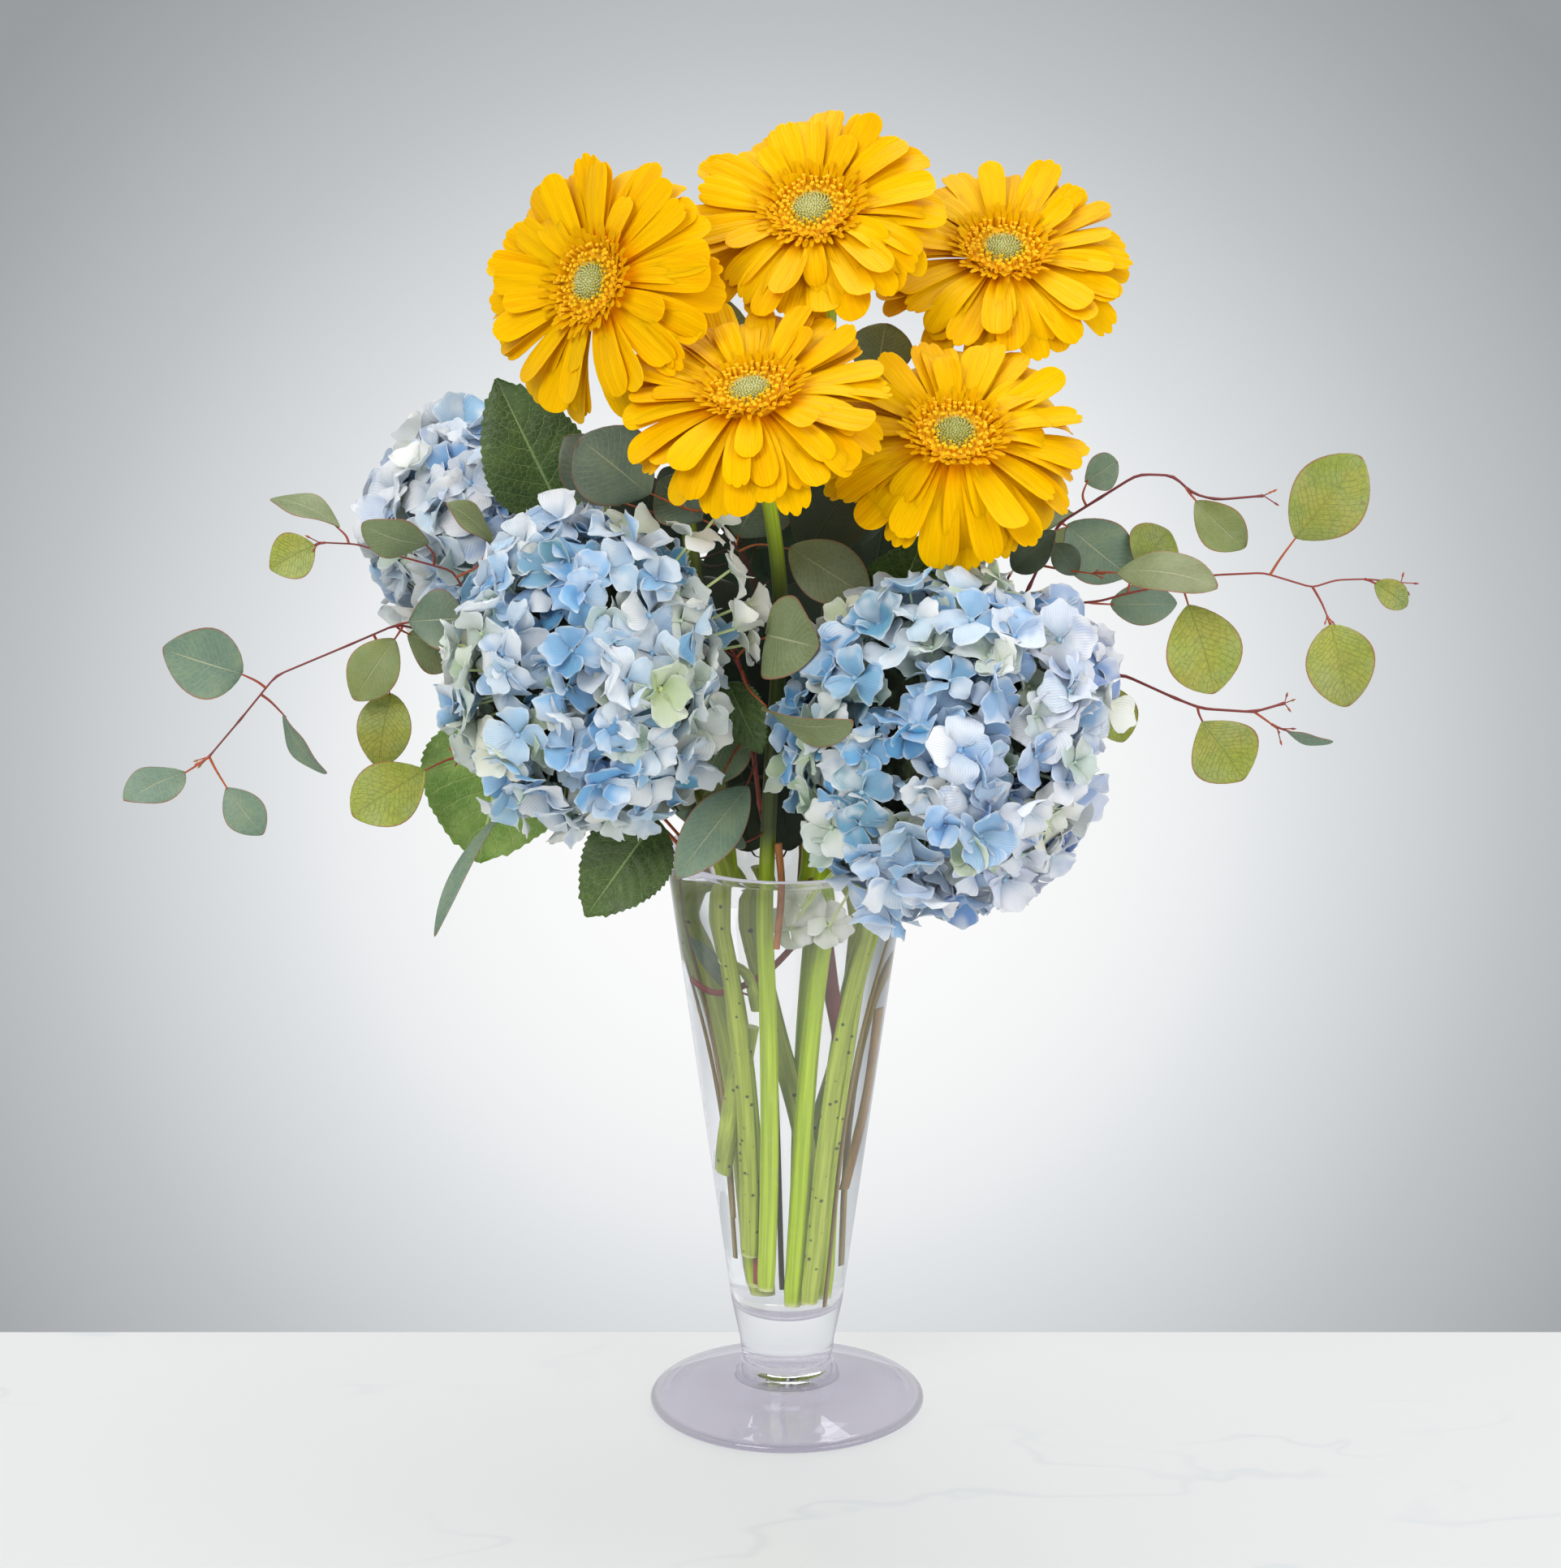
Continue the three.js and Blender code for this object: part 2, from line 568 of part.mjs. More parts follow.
const SPRAYS = [
  {
    name: "left", mouth: [-45, 6], endZ: 70,
    stem: [
      [-60, 8, 281], [-84, 11, 306], [-120, 6, 344], [-148, -8, 362], [-169, -18, 370], [-190, -24, 362],
      [-221, -30, 350], [-236, -34, 332], [-250, -38, 316],
    ],
    twigs: [[[-120, 6, 344], [-136, 4, 370], [-146, 2, 389], [-188, 2, 401], [-203, -8, 404]]],
    leaves: [
      leaf([-235, -34, 352], [-268, -44, 364], 31),
      leaf([-218, -33, 334], [-199, -40, 309], 22, 50),
      leaf([-259, -50, 312], [-280, -80, 307], 20, 20),
      leaf([-243, -38, 302], [-228, -44, 282], 18),
      leaf([-170, -21, 364], [-188, -34, 341], 23),
      leaf([-164, -18, 371], [-140, -14, 372], 27),
      leaf([-165, -12, 364], [-142, -4, 353], 26),
      leaf([-172, -22, 340], [-179, -30, 309], 24),
      leaf([-195, 4, 408], [-226, 16, 418], 24, 40),
      leaf([-205, -9, 403], [-224, -14, 394], 21),
      leaf([-156, -2, 402], [-182, -12, 415], 27, -30),
      leaf([-128, -1, 402], [-146, -5, 420], 20, 30),
    ],
  },
  {
    name: "low_left", mouth: [-44, -12], endZ: 92,
    stem: [[-54, -13, 276], [-84, -17, 287], [-112, -24, 298], [-132, -28, 310], [-142, -30, 314]],
    twigs: [],
    leaves: [
      leaf([-157, -38, 310], [-187, -50, 292], 29),
      leaf([-126, -36, 288], [-154, -60, 242], 10, 20),
    ],
  },
  {
    name: "front", mouth: [-8, -19], endZ: 80,
    stem: [[-12, -24, 290], [-15, -33, 318], [-15, -46, 343], [-18, -50, 353], [-22, -54, 364]],
    twigs: [],
    leaves: [
      leaf([-12, -64, 375], [7, -96, 382], 36),
      leaf([-8, -62, 345], [12, -100, 341], 12),
      leaf([-24, -44, 317], [-46, -58, 316], 26),
      leaf([-17, -54, 307], [-49, -84, 276], 24),
      leaf([-18, -60, 282], [-48, -74, 300], 13, 40),
      leaf([-29, -56, 312], [-35, -66, 289], 10),
      leaf([-19, -57, 348], [-11, -72, 327], 17),
    ],
  },
  {
    name: "middle", mouth: [-8, 8], endZ: 56,
    stem: [[-6, 8, 320], [-6, 0, 369], [-19, -12, 398], [-28, -11, 411], [-33, -10, 418]],
    twigs: [
      [[-6, 7, 338], [-22, 20, 410], [-42, 22, 472]],
      [[-6, 8, 332], [4, 30, 370], [16, 42, 402], [30, 42, 440], [38, 40, 464]],
    ],
    leaves: [
      leaf([-59, -30, 430], [-88, -36, 456], 37),
      leaf([-72, -10, 421], [-97, -10, 450], 28),
      leaf([-37, -14, 415], [-56, -11, 431], 26),
      leaf([-22, 2, 404], [-7, 10, 431], 36),
      leaf([1, -30, 407], [34, -44, 387], 22),
      leaf([8, 0, 398], [30, 4, 434], 34),
      leaf([-43, 22, 480], [-35, 30, 508], 30),
      leaf([39, 40, 468], [43, 48, 490], 26),
    ],
  },
  {
    name: "right", mouth: [44, -2], endZ: 50,
    stem: [
      [62, 8, 300], [88, 10, 345], [106, 9, 380], [118, 6, 409], [134, 4, 424], [152, 2, 432], [167, 0, 432],
      [176, -2, 424], [186, -4, 422], [206, -5, 424],
    ],
    twigs: [
      [
        [100, 9, 368], [120, 5, 373], [137, 0, 376], [147, 0, 379], [185, -6, 389], [207, -6, 390],
        [229, 0, 382], [240, 6, 384], [254, 12, 383], [270, 18, 380],
      ],
      [[229, 0, 382], [233, -4, 376], [235, -8, 371]],
      [[110, 8, 390], [119, -4, 391], [132, -16, 392]],
      [[96, 9, 362], [95, -6, 378], [95, -18, 389]],
    ],
    leaves: [
      leaf([177, -2, 421], [198, -4, 402], 25),
      leaf([130, 16, 426], [144, 24, 434], 18, 30),
      leaf([122, 8, 408], [149, 16, 382], 30),
      leaf([153, 8, 390], [167, 16, 404], 25),
      leaf([142, -22, 394], [184, -40, 392], 26),
      leaf([142, 14, 371], [172, 22, 369], 19),
      leaf([220, -8, 406], [248, -14, 442], 34),
      leaf([258, 13, 381], [273, 17, 370], 13),
      leaf([236, -11, 368], [245, -20, 334], 31),
      leaf([174, -12, 377], [187, -20, 340], 34),
      leaf([116, -2, 402], [126, -8, 390], 13),
      leaf([97, -22, 395], [115, -30, 414], 16),
    ],
  },
  {
    name: "low_right", mouth: [34, 33], endZ: 66,
    stem: [
      [62, 32, 298], [100, 20, 324], [136, 9, 338], [147, 4, 342], [169, -6, 334], [181, -10, 330],
      [204, -12, 329], [217, -12, 333],
    ],
    twigs: [[[204, -12, 329], [210, -13, 325], [214, -14, 322]]],
    leaves: [
      leaf([181, -14, 325], [199, -22, 301], 32),
      leaf([218, -14, 321], [237, -18, 318], 11),
      leaf([141, 9, 335], [148, 4, 311], 20),
    ],
  },
  {
    name: "back", mouth: [6, 34], endZ: 50,
    stem: [[12, 58, 320], [16, 78, 370], [10, 94, 415], [0, 104, 436]],
    twigs: [
      [[13, 62, 332], [-14, 92, 368], [-48, 112, 384], [-74, 120, 386]],
      [[15, 72, 358], [52, 98, 378], [88, 112, 382], [112, 114, 376]],
      [[10, 52, 305], [14, 92, 318], [18, 122, 310]],
    ],
    pairs: [
      { route: 0, from: 0.82, count: 1 },
      { route: 1, from: 0.6, count: 1 },
      { route: 2, from: 0.6, count: 1 },
      { route: 3, from: 0.75, count: 1 },
    ],
    leaves: [],
  },
];

// Leaves in alternating places along the outer part of a route, and one at its tip, facing back and up
function leavesAlong(curve, { from, count }, seed) {
  const draw = seeded(seed);
  const faces = new THREE.Vector3(0, 0.75, 0.66).normalize();
  const leaves = [];
  for (let i = 0; i < 2 * count; i += 1) {
    const share = from + ((0.96 - from) * i) / (2 * count - 1);
    const along = curve.getTangentAt(share);
    const side = along.clone().cross(faces).normalize();
    const lean = along.clone().multiplyScalar(0.6).addScaledVector(side, i % 2 ? 1 : -1).normalize();
    const base = curve.getPointAt(share).addScaledVector(lean, PETIOLE_LENGTH);
    const length = 24 + 8 * draw();
    const tip = base.clone().addScaledVector(lean, length);
    leaves.push({ ...leaf(base, tip, length * 0.84, 20 * draw()), faces });
  }
  const onward = curve.getTangentAt(1);
  const last = curve.getPointAt(1).addScaledVector(onward, 4);
  leaves.push({ ...leaf(last, last.clone().addScaledVector(onward, 28), 22), faces });
  return leaves;
}

function growSprayStem(spec) {
  const name = `eucalyptus_${spec.name}`;
  spec.routes = [stemCorners(spec)];
  growStem(name, spec.routes[0], SPRAY_RADIUS);
  growTwigs(name, spec.routes, spec.twigs, TWIG_RADIUS);
  for (const [index, pair] of (spec.pairs ?? []).entries()) {
    spec.leaves.push(...leavesAlong(new THREE.CatmullRomCurve3(spec.routes[pair.route]), pair, 71 + index));
  }
}

// ---------------------------------------------------------------- the whole

const glass = new THREE.MeshStandardMaterial({
  color: "#dde1ea", roughness: 0.05, metalness: 0, transparent: true, opacity: 0.35,
});
const water = new THREE.MeshStandardMaterial({
  color: "#d6e2d2", roughness: 0.02, metalness: 0, transparent: true, opacity: 0.4,
});
const stemGreen = new THREE.MeshStandardMaterial({ color: "#7f9a35", roughness: 0.55, metalness: 0 });
const rayYellow = new THREE.MeshStandardMaterial({ color: "#f8bd0c", roughness: 0.5, metalness: 0 });
const eyeGreen = new THREE.MeshStandardMaterial({ color: "#c9cf62", roughness: 0.6, metalness: 0 });
const floretBlue = new THREE.MeshStandardMaterial({ color: "#8fb4dc", roughness: 0.6, metalness: 0 });
const leafGreen = new THREE.MeshStandardMaterial({ color: "#3f5f2c", roughness: 0.55, metalness: 0 });
const leafOlive = new THREE.MeshStandardMaterial({ color: "#8c9a5c", roughness: 0.55, metalness: 0 });

grow("vase", vaseSolid());
const gerberaFrames = GERBERAS.map(gerberaFrame);
GERBERAS.forEach((spec, i) => growGerberaStem(i + 1, spec, gerberaFrames[i]));
HYDRANGEAS.forEach(growHydrangeaStem);
SPRAYS.forEach(growSprayStem);
GERBERAS.forEach((spec, i) => growEye(i + 1, gerberaFrames[i]));
for (const index of [4, 5, 1, 2, 3]) growBloom(index, gerberaFrames[index - 1]);
for (const { name, routes, leaves } of SPRAYS) {
  growLeaves(`eucalyptus_${name}`, routes, leaves, EUCALYPTUS_OUTLINE, LEAF_THICKNESS);
}
for (const { name, routes, leaves } of HYDRANGEAS) {
  growLeaves(`hydrangea_stem_${name}`, routes, leaves, HYDRANGEA_OUTLINE, HYDRANGEA_LEAF_THICKNESS);
}
HYDRANGEAS.forEach(growHydrangeaHead);
grow("water", waterSolid().subtract(joined(waterHoles)));

const MATERIALS = [
  [/^vase/, glass], [/^water/, water], [/^gerbera_stem/, stemGreen], [/^gerbera_bloom/, rayYellow],
  [/^gerbera_eye/, eyeGreen], [/^hydrangea_head/, floretBlue], [/^hydrangea_stem/, leafGreen],
  [/^eucalyptus/, leafOlive],
];

const bouquet = new THREE.Group();
for (const [name, solid] of nodes) {
  const { vertProperties, triVerts } = solid.getMesh();
  const geometry = new THREE.BufferGeometry();
  geometry.setAttribute("position", new THREE.BufferAttribute(vertProperties, 3));
  geometry.setIndex(new THREE.BufferAttribute(triVerts, 1));
  geometry.computeVertexNormals();
  const mesh = new THREE.Mesh(geometry, MATERIALS.find(([pattern]) => pattern.test(name))[1]);
  mesh.name = name;
  bouquet.add(mesh);
}

export default bouquet;
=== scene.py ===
"""A footed trumpet vase of clear glass, full of water nearly to its rim, with a mixed bunch of cut flowers.

The bunch has five yellow gerberas, three blue hydrangea heads with serrated leaves and seven sprays of
silver dollar eucalyptus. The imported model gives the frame: each of its nodes gets a finer piece here,
grown from the same places. Shapes are worked out in millimetres and written to the meshes in metres.
+X is to the right, +Y to the back and +Z up; the origin is the centre of the foot's underside.
"""

import functools
import math
import random

import bpy
import numpy as np
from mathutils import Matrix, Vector
from mathutils.bvhtree import BVHTree


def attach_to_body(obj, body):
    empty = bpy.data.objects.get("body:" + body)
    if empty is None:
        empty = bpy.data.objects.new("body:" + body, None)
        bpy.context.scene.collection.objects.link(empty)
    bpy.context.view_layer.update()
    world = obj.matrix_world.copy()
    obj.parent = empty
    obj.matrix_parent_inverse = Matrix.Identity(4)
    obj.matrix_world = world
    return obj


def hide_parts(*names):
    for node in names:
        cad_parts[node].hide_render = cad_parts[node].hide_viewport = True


MM = 0.001

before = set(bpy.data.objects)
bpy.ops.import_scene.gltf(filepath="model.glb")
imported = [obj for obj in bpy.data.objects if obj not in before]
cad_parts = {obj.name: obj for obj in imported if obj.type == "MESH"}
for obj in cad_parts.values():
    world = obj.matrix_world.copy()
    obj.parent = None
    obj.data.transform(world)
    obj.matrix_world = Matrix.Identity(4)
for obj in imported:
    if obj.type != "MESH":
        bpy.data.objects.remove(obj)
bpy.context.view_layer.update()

# ---------------------------------------------------------------- places and sizes, in millimetres

FRONT = np.array((0, -0.96, 0.27)) / math.hypot(0.96, 0.27)

# A turned form begins and ends this far from its axis
AXIS_GAP = 0.02

# Vase
FOOT_RADIUS = 62.5
FOOT_RING = 4
FOOT_EDGE = 3.9
HOLLOW_TOP = 12.5
COLLAR = (22, 18)
NECK = (18.6, 20)
STUB_EDGE = (20.4, 23.5)
STUB = (21.4, 31)
BOWL_RADIUS = 25.2
BOWL_Z = 50
RIM_RADIUS = 54.3
RIM_Z = 264
WALL = 3
FLOOR_Z = 45
FLOOR_EDGE_Z = 53
FLOOR_BEND = 19.5
WATER_Z = 258
CONE_SLOPE = (RIM_RADIUS - BOWL_RADIUS) / (RIM_Z - BOWL_Z)
VASE_SIDES = 128

# Where the glass changes its tint, part glass colour and part painted shade, and where its painted edge glow
# is strongest:
# heights, and distances from the vase's axis in its foot
FOOT_TINT_Z = (10, 28)
STUB_LOW_Z = (19, 24)
STUB_HIGH_Z = (58, 50)
FOOT_MIDDLE = (50, 26)
FOOT_RIM = (59.2, 61.6)

# Stems run straight from the bottom up to BEND_Z, drawn in and turned about the vase's axis
BOTTOM_Z = 50
BEND_Z = 236
BOTTOM_SHARE = 0.36
STEM_BOW = 0.24
BOTTOM_TURN = math.radians(-25)

# Heights between which the stalks above the rim are darkened with painted shade of the heads
STALK_SHADE_LOW_Z = (RIM_Z, RIM_Z + 22)
STALK_SHADE_HIGH_Z = (440, 385)

# Gerberas
GERBERA_STEM_RADIUS = 3.4
RAY_ROOT = 12
RAY_CURL = 12
RAY_THICKNESS = 0.5
STRAP_THICKNESS = 0.4
EYE_RADIUS = 8.9
EYE_BUDS = 150

# Hydrangeas
HYDRANGEA_STEM_RADIUS = 3.8
CORE_SHARE = 0.7
PETAL_LENGTH = 15.5
PETAL_WIDTH = 15.5
PETAL_THICKNESS = 0.34
HYDRANGEA_LEAF_THICKNESS = 0.5
TEETH = 19
VEIN_PAIRS = 8

# Eucalyptus
SPRAY_RADIUS = 1.5
TWIG_RADIUS = 1.0
PETIOLE_LENGTH = 6
EUCALYPTUS_LEAF_THICKNESS = 0.45

GERBERAS = [
    dict(centre=(-81.6, -30, 521), young=0.85, turn=-43, lift=23, rear_rise=10, front_droop=24,
         mouth=(-26, -8), end=58, stem=[(-44, -2, 420)]),
    dict(centre=(11, 5, 545.6), young=1.0, turn=-14, lift=50, rear_rise=4, front_droop=2,
         mouth=(10, 6), end=50, stem=[(15, 26, 420)]),
    dict(centre=(93.6, 35, 523.2), young=0.55, turn=5, lift=59, rear_rise=4, front_droop=9,
         mouth=(28, 16), end=52, stem=[(66, 44, 400)]),
    dict(centre=(-15.3, -70, 480.8), young=0.75, turn=-20, lift=66, rear_rise=13, front_droop=19,
         mouth=(-9, -38), end=60, stem=[(-7, -41, 310), (-3, -40, 385)]),
    dict(centre=(70.4, -50, 459.2), young=0.0, turn=3, lift=57, rear_rise=5, front_droop=30,
         mouth=(16, -22), end=52, stem=[(26, -13, 312), (48, -6, 370)]),
]

# A leaf is its base, tip, width and roll in degrees about its length
HYDRANGEAS = {
    "left": dict(
        centre=(-85.6, -62, 358.5), radii=(64, 60, 75), florets=168, seed=11,
        mouth=(-28, -33), end=76, stem=[(-50, -43, 305)],
        petioles=[[(-38, -37, 284), (-80, -2, 304), (-116, 4, 322)]],
        leaves=[((-121, 3, 324), (-136, -20, 263), 67, 0), ((-56, -46, 291), (-87, -62, 251), 38, 0),
                ((-28, -48, 355), (-11, -60, 328), 20, 10)],
    ),
    "right": dict(
        centre=(67.9, -78, 332.1), radii=(76.5, 76.5, 76.5), florets=218, seed=12,
        mouth=(37, -24), end=54, stem=[(47, -40, 292)],
        petioles=[[(42, -31, 276), (36, -20, 330), (43, -23, 370)]],
        leaves=[((44, -24, 374), (58, -44, 415), 36, 0)],
    ),
    "back": dict(
        centre=(-134.4, 60, 395.3), radii=(50, 50, 50), florets=104, seed=13,
        mouth=(-32, 26), end=50, stem=[(-70, 42, 318)],
        petioles=[
            [(-84, 46, 336), (-90, 30, 374), (-97, 22, 404)],
            [(-80, 45, 330), (-88, 66, 342), (-98, 84, 348)],
        ],
        leaves=[((-98, 22, 408), (-127, 24, 470), 46, 0), ((-100, 88, 348), (-110, 134, 330), 44, 40)],
    ),
}

# A spray's leaf is its base, tip, width, roll in degrees and tone; the lowest tones are painted shade
SPRAYS = {
    "left": dict(
        mouth=(-45, 6), end=70, stout=0.78,
        stem=[(-60, 8, 281), (-84, 11, 306), (-120, 6, 344), (-148, -8, 362), (-169, -18, 370),
              (-190, -24, 362), (-221, -30, 350), (-236, -34, 332), (-250, -38, 316)],
        twigs=[[(-120, 6, 344), (-136, 4, 370), (-146, 2, 389), (-188, 2, 401), (-203, -8, 404)]],
        leaves=[
            ((-235, -34, 352), (-268, -44, 364), 31, 0, 0.27),
            ((-218, -33, 334), (-199, -40, 309), 20, 66, 0.3),
            ((-259, -50, 312), (-280, -80, 307), 20, 20, 0.27),
            ((-243, -38, 302), (-228, -44, 282), 18, 0, 0.27),
            ((-170, -21, 364), (-188, -34, 341), 23, 0, 0.62),
            ((-164, -18, 371), (-140, -14, 372), 27, 0, 0.3),
            ((-165, -12, 364), (-142, -4, 353), 26, 0, 0.5),
            ((-172, -22, 340), (-179, -30, 309), 24, 0, 0.85),
            ((-195, 4, 408), (-226, 16, 418), 22, 62, 0.5),
            ((-205, -9, 403), (-224, -14, 394), 21, 0, 0.92),
            ((-156, -2, 402), (-184, -12, 413), 25, -52, 0.5),
            ((-128, -1, 402), (-148, -5, 420), 19, 56, 0.5),
        ],
    ),
    "low_left": dict(
        mouth=(-44, -12), end=92,
        stem=[(-54, -13, 276), (-84, -17, 287), (-112, -24, 298), (-132, -28, 310), (-142, -30, 314)],
        twigs=[],
        leaves=[
            ((-157, -38, 310), (-187, -50, 292), 29, 0, 0.92),
            ((-126, -36, 288), (-154, -60, 242), 8, 35, 0.28),
        ],
    ),
    "front": dict(
        mouth=(-8, -19), end=80,
        stem=[(-12, -24, 290), (-15, -33, 318), (-15, -46, 343), (-18, -50, 353), (-22, -54, 364)],
        twigs=[],
        leaves=[
            ((-9, -62, 376), (13, -95, 379), 37, 0, 0.5), ((-10, -85, 351), (27, -148, 361), 24, 66, 0.55),
            ((-22, -38, 333), (-36, -48, 306), 27, 0, 0.4), ((-17, -54, 307), (-49, -84, 276), 24, 0, 0.3),
            ((-18, -60, 282), (-48, -74, 300), 13, 40, 0.22),
            ((-29, -56, 312), (-35, -66, 289), 10, 0, 0.6),
            # In the water
            ((-22, -14, 206), (-38, -12, 228), 11, 30, 0.24),
        ],
    ),
    "middle": dict(
        # shade is the share of painted shade on this spray's stem and twigs
        mouth=(-8, 8), end=56, shade=0.85,
        stem=[(-6, 8, 320), (-6, 0, 369), (-19, -12, 398), (-28, -11, 411), (-33, -10, 418)],
        twigs=[
            [(-6, 7, 338), (-22, 20, 410), (-42, 22, 472)],
            [(-6, 8, 332), (4, 30, 370), (16, 42, 402), (30, 42, 440), (38, 40, 464)],
        ],
        leaves=[
            ((-59, -30, 430), (-88, -36, 456), 37, 0, 0.2), ((-72, -10, 421), (-97, -10, 450), 28, 0, 0.18),
            ((-37, -14, 415), (-56, -11, 431), 26, 0, 0.2), ((-22, 2, 404), (-7, 10, 431), 36, 0, 0.22),
            ((1, -30, 407), (34, -44, 387), 27, 0, 0.45), ((8, 0, 398), (30, 4, 434), 34, 0, 0.1),
            ((-39, 22, 470), (-30, 30, 505), 36, 0, 0.34), ((39, 40, 466), (43, 48, 490), 28, 0, 0.3),
            # Crowded leaves between the heads, dark with painted shade
            ((-17, 6, 260), (-19, 14, 290), 28, 0, 0.05), ((2, 4, 260), (3, 14, 290), 26, 0, 0.04),
            ((-14, 32, 392), (-10, 38, 436), 42, 0, 0.1), ((12, 34, 398), (44, 38, 422), 34, 0, 0.05),
            ((-34, 20, 402), (-54, 26, 430), 26, 0, 0.06), ((0, 6, 356), (6, 2, 384), 24, 0, 0.1),
            ((-48, 33, 388), (-45, 38, 424), 34, 0, 0.05), ((-64, 31, 392), (-61, 36, 424), 32, 0, 0.03),
            ((-5, 12, 342), (-14, 8, 371), 24, 0, 0.04), ((-2, 20, 316), (-12, 22, 348), 30, 0, 0.0),
            ((4, 32, 330), (8, 38, 362), 32, 0, 0.0), ((-2, 24, 290), (-4, 26, 322), 34, 0, 0.02),
            ((-4, 22, 266), (-8, 20, 294), 26, 0, 0.06), ((26, 30, 340), (34, 34, 372), 34, 0, 0.02),
            ((-28, 26, 350), (-36, 30, 380), 34, 0, 0.03), ((22, 22, 296), (27, 26, 326), 30, 0, 0.02),
            ((-22, 26, 300), (-27, 28, 330), 30, 0, 0.0), ((18, 10, 322), (14, 6, 350), 26, 0, 0.05),
        ],
    ),
    "right": dict(
        mouth=(44, -2), end=50,
        stem=[(62, 8, 300), (88, 10, 345), (106, 9, 380), (118, 6, 409), (135, 4, 420.5), (152, 2, 432),
              (167, 0, 432), (176, -2, 424), (186, -4, 422), (206, -5, 424)],
        twigs=[
            [(100, 9, 368), (120, 5, 373), (137, 0, 376), (147, 0, 379), (185, -6, 389), (207, -6, 390),
             (229, 0, 382), (240, 6, 384), (254, 12, 383), (270, 18, 380)],
            [(229, 0, 382), (233, -4, 376), (235, -8, 371)],
            [(110, 8, 390), (119, -4, 391), (132, -16, 392)],
            [(96, 9, 362), (95, -6, 378), (95, -18, 389)],
        ],
        leaves=[
            ((177, -2, 421), (199, -4, 401), 21, 20, 0.6), ((130, 16, 426), (144, 24, 434), 18, 30, 0.35),
            ((122, 8, 408), (149, 16, 382), 30, 0, 0.3), ((153, 8, 390), (167, 16, 404), 25, 0, 0.8),
            ((142, -22, 394), (184, -40, 392), 26, -45, 0.5), ((142, 14, 371), (172, 22, 369), 19, 0, 0.28),
            ((220, -8, 406), (248, -14, 442), 34, 0, 0.78), ((258, 13, 381), (273, 17, 370), 13, 0, 0.8),
            ((236, -11, 368), (245, -20, 334), 31, 0, 0.86),
            ((174, -12, 377), (187, -20, 340), 34, 0, 0.92),
            ((116, -2, 402), (126, -8, 390), 13, 0, 0.16), ((97, -22, 395), (115, -30, 414), 16, 0, 0.14),
        ],
    ),
    "low_right": dict(
        mouth=(34, 33), end=66,
        stem=[(62, 32, 298), (100, 20, 324), (136, 9, 338), (147, 4, 342), (169, -6, 334),
              (181, -10, 330), (204, -12, 329), (217, -12, 333)],
        twigs=[[(204, -12, 329), (210, -13, 325), (214, -14, 322)]],
        leaves=[
            ((181, -14, 325), (199, -22, 301), 32, 0, 0.9), ((218, -14, 321), (238, -18, 317), 10, 60, 0.3),
            ((141, 9, 335), (148, 4, 311), 20, 0, 0.92),
        ],
    ),
    "back": dict(
        mouth=(6, 34), end=50,
        stem=[(12, 58, 320), (16, 78, 370), (10, 94, 415), (0, 104, 436)],
        twigs=[
            [(13, 62, 332), (-14, 92, 368), (-48, 112, 384), (-74, 120, 386)],
            [(15, 72, 358), (52, 98, 378), (88, 112, 382), (112, 114, 376)],
            [(10, 52, 305), (14, 92, 318), (18, 122, 310)],
        ],
        leaves=[
            # Leaves behind the heads, dark with painted shade
            ((-14, 62, 352), (-20, 66, 398), 46, 0, 0.06), ((11, 62, 360), (15, 66, 406), 46, 0, 0.05),
            ((37, 62, 360), (44, 66, 400), 42, 0, 0.06), ((-16, 60, 305), (-24, 64, 348), 44, 0, 0.0),
            ((11, 60, 309), (11, 64, 352), 46, 0, 0.0), ((-18, 54, 268), (-27, 57, 306), 42, 0, 0.0),
            ((6, 54, 268), (2, 57, 308), 42, 0, 0.0), ((-37, 66, 345), (-44, 68, 380), 34, 0, 0.04),
            ((30, 56, 279), (33, 60, 317), 40, 0, 0.0),
        ],
        # Route, share along it where its leaves start, and how many pairs it bears
        pairs=[(0, 0.82, 1), (1, 0.6, 1), (2, 0.6, 1), (3, 0.75, 1)],
    ),
}

# ---------------------------------------------------------------- shapes


def unit(vector):
    """A vector, or each vector of a grid, at length one."""
    vector = np.asarray(vector, float)
    return vector / np.maximum(np.linalg.norm(vector, axis=-1, keepdims=True), 1e-9)


def turned(vector, axis, angle):
    """A vector turned about an axis of length one by an angle in radians."""
    vector, axis = np.asarray(vector, float), np.asarray(axis, float)
    round_axis = vector * math.cos(angle) + np.cross(axis, vector) * math.sin(angle)
    return round_axis + axis * (axis @ vector) * (1 - math.cos(angle))


def within(value):
    """A number kept between 0 and 1."""
    return min(1.0, max(0.0, value))


def spoke(first, second, angle):
    """The direction at an angle in radians from one direction toward a second one."""
    return first * math.cos(angle) + second * math.sin(angle)


def spiral(number):
    """The angle of a place in the spiral in which florets grow."""
    return number * math.pi * (3 - math.sqrt(5))


def laid(origin, *steps):
    """A grid of points that lie off an origin by distances along directions."""
    grid = np.asarray(origin, float)
    for distance, direction in steps:
        grid = grid + distance[..., None] * direction
    return grid


@functools.lru_cache(None)
def sheet_faces(rows, columns):
    """Faces of a closed thin sheet: its upper grid, its lower grid and the rim between them."""
    top = np.arange(rows * columns).reshape(rows, columns)
    upper = np.stack([top[:-1, :-1], top[1:, :-1], top[1:, 1:], top[:-1, 1:]], -1).reshape(-1, 4)
    edge = np.concatenate([top[:-1, 0], top[-1, :-1], top[:0:-1, -1], top[0, :0:-1]])
    onward = np.roll(edge, -1)
    low = rows * columns
    rim = np.stack([onward, edge, edge + low, onward + low], -1)
    return np.concatenate([upper, upper[:, ::-1] + low, rim])


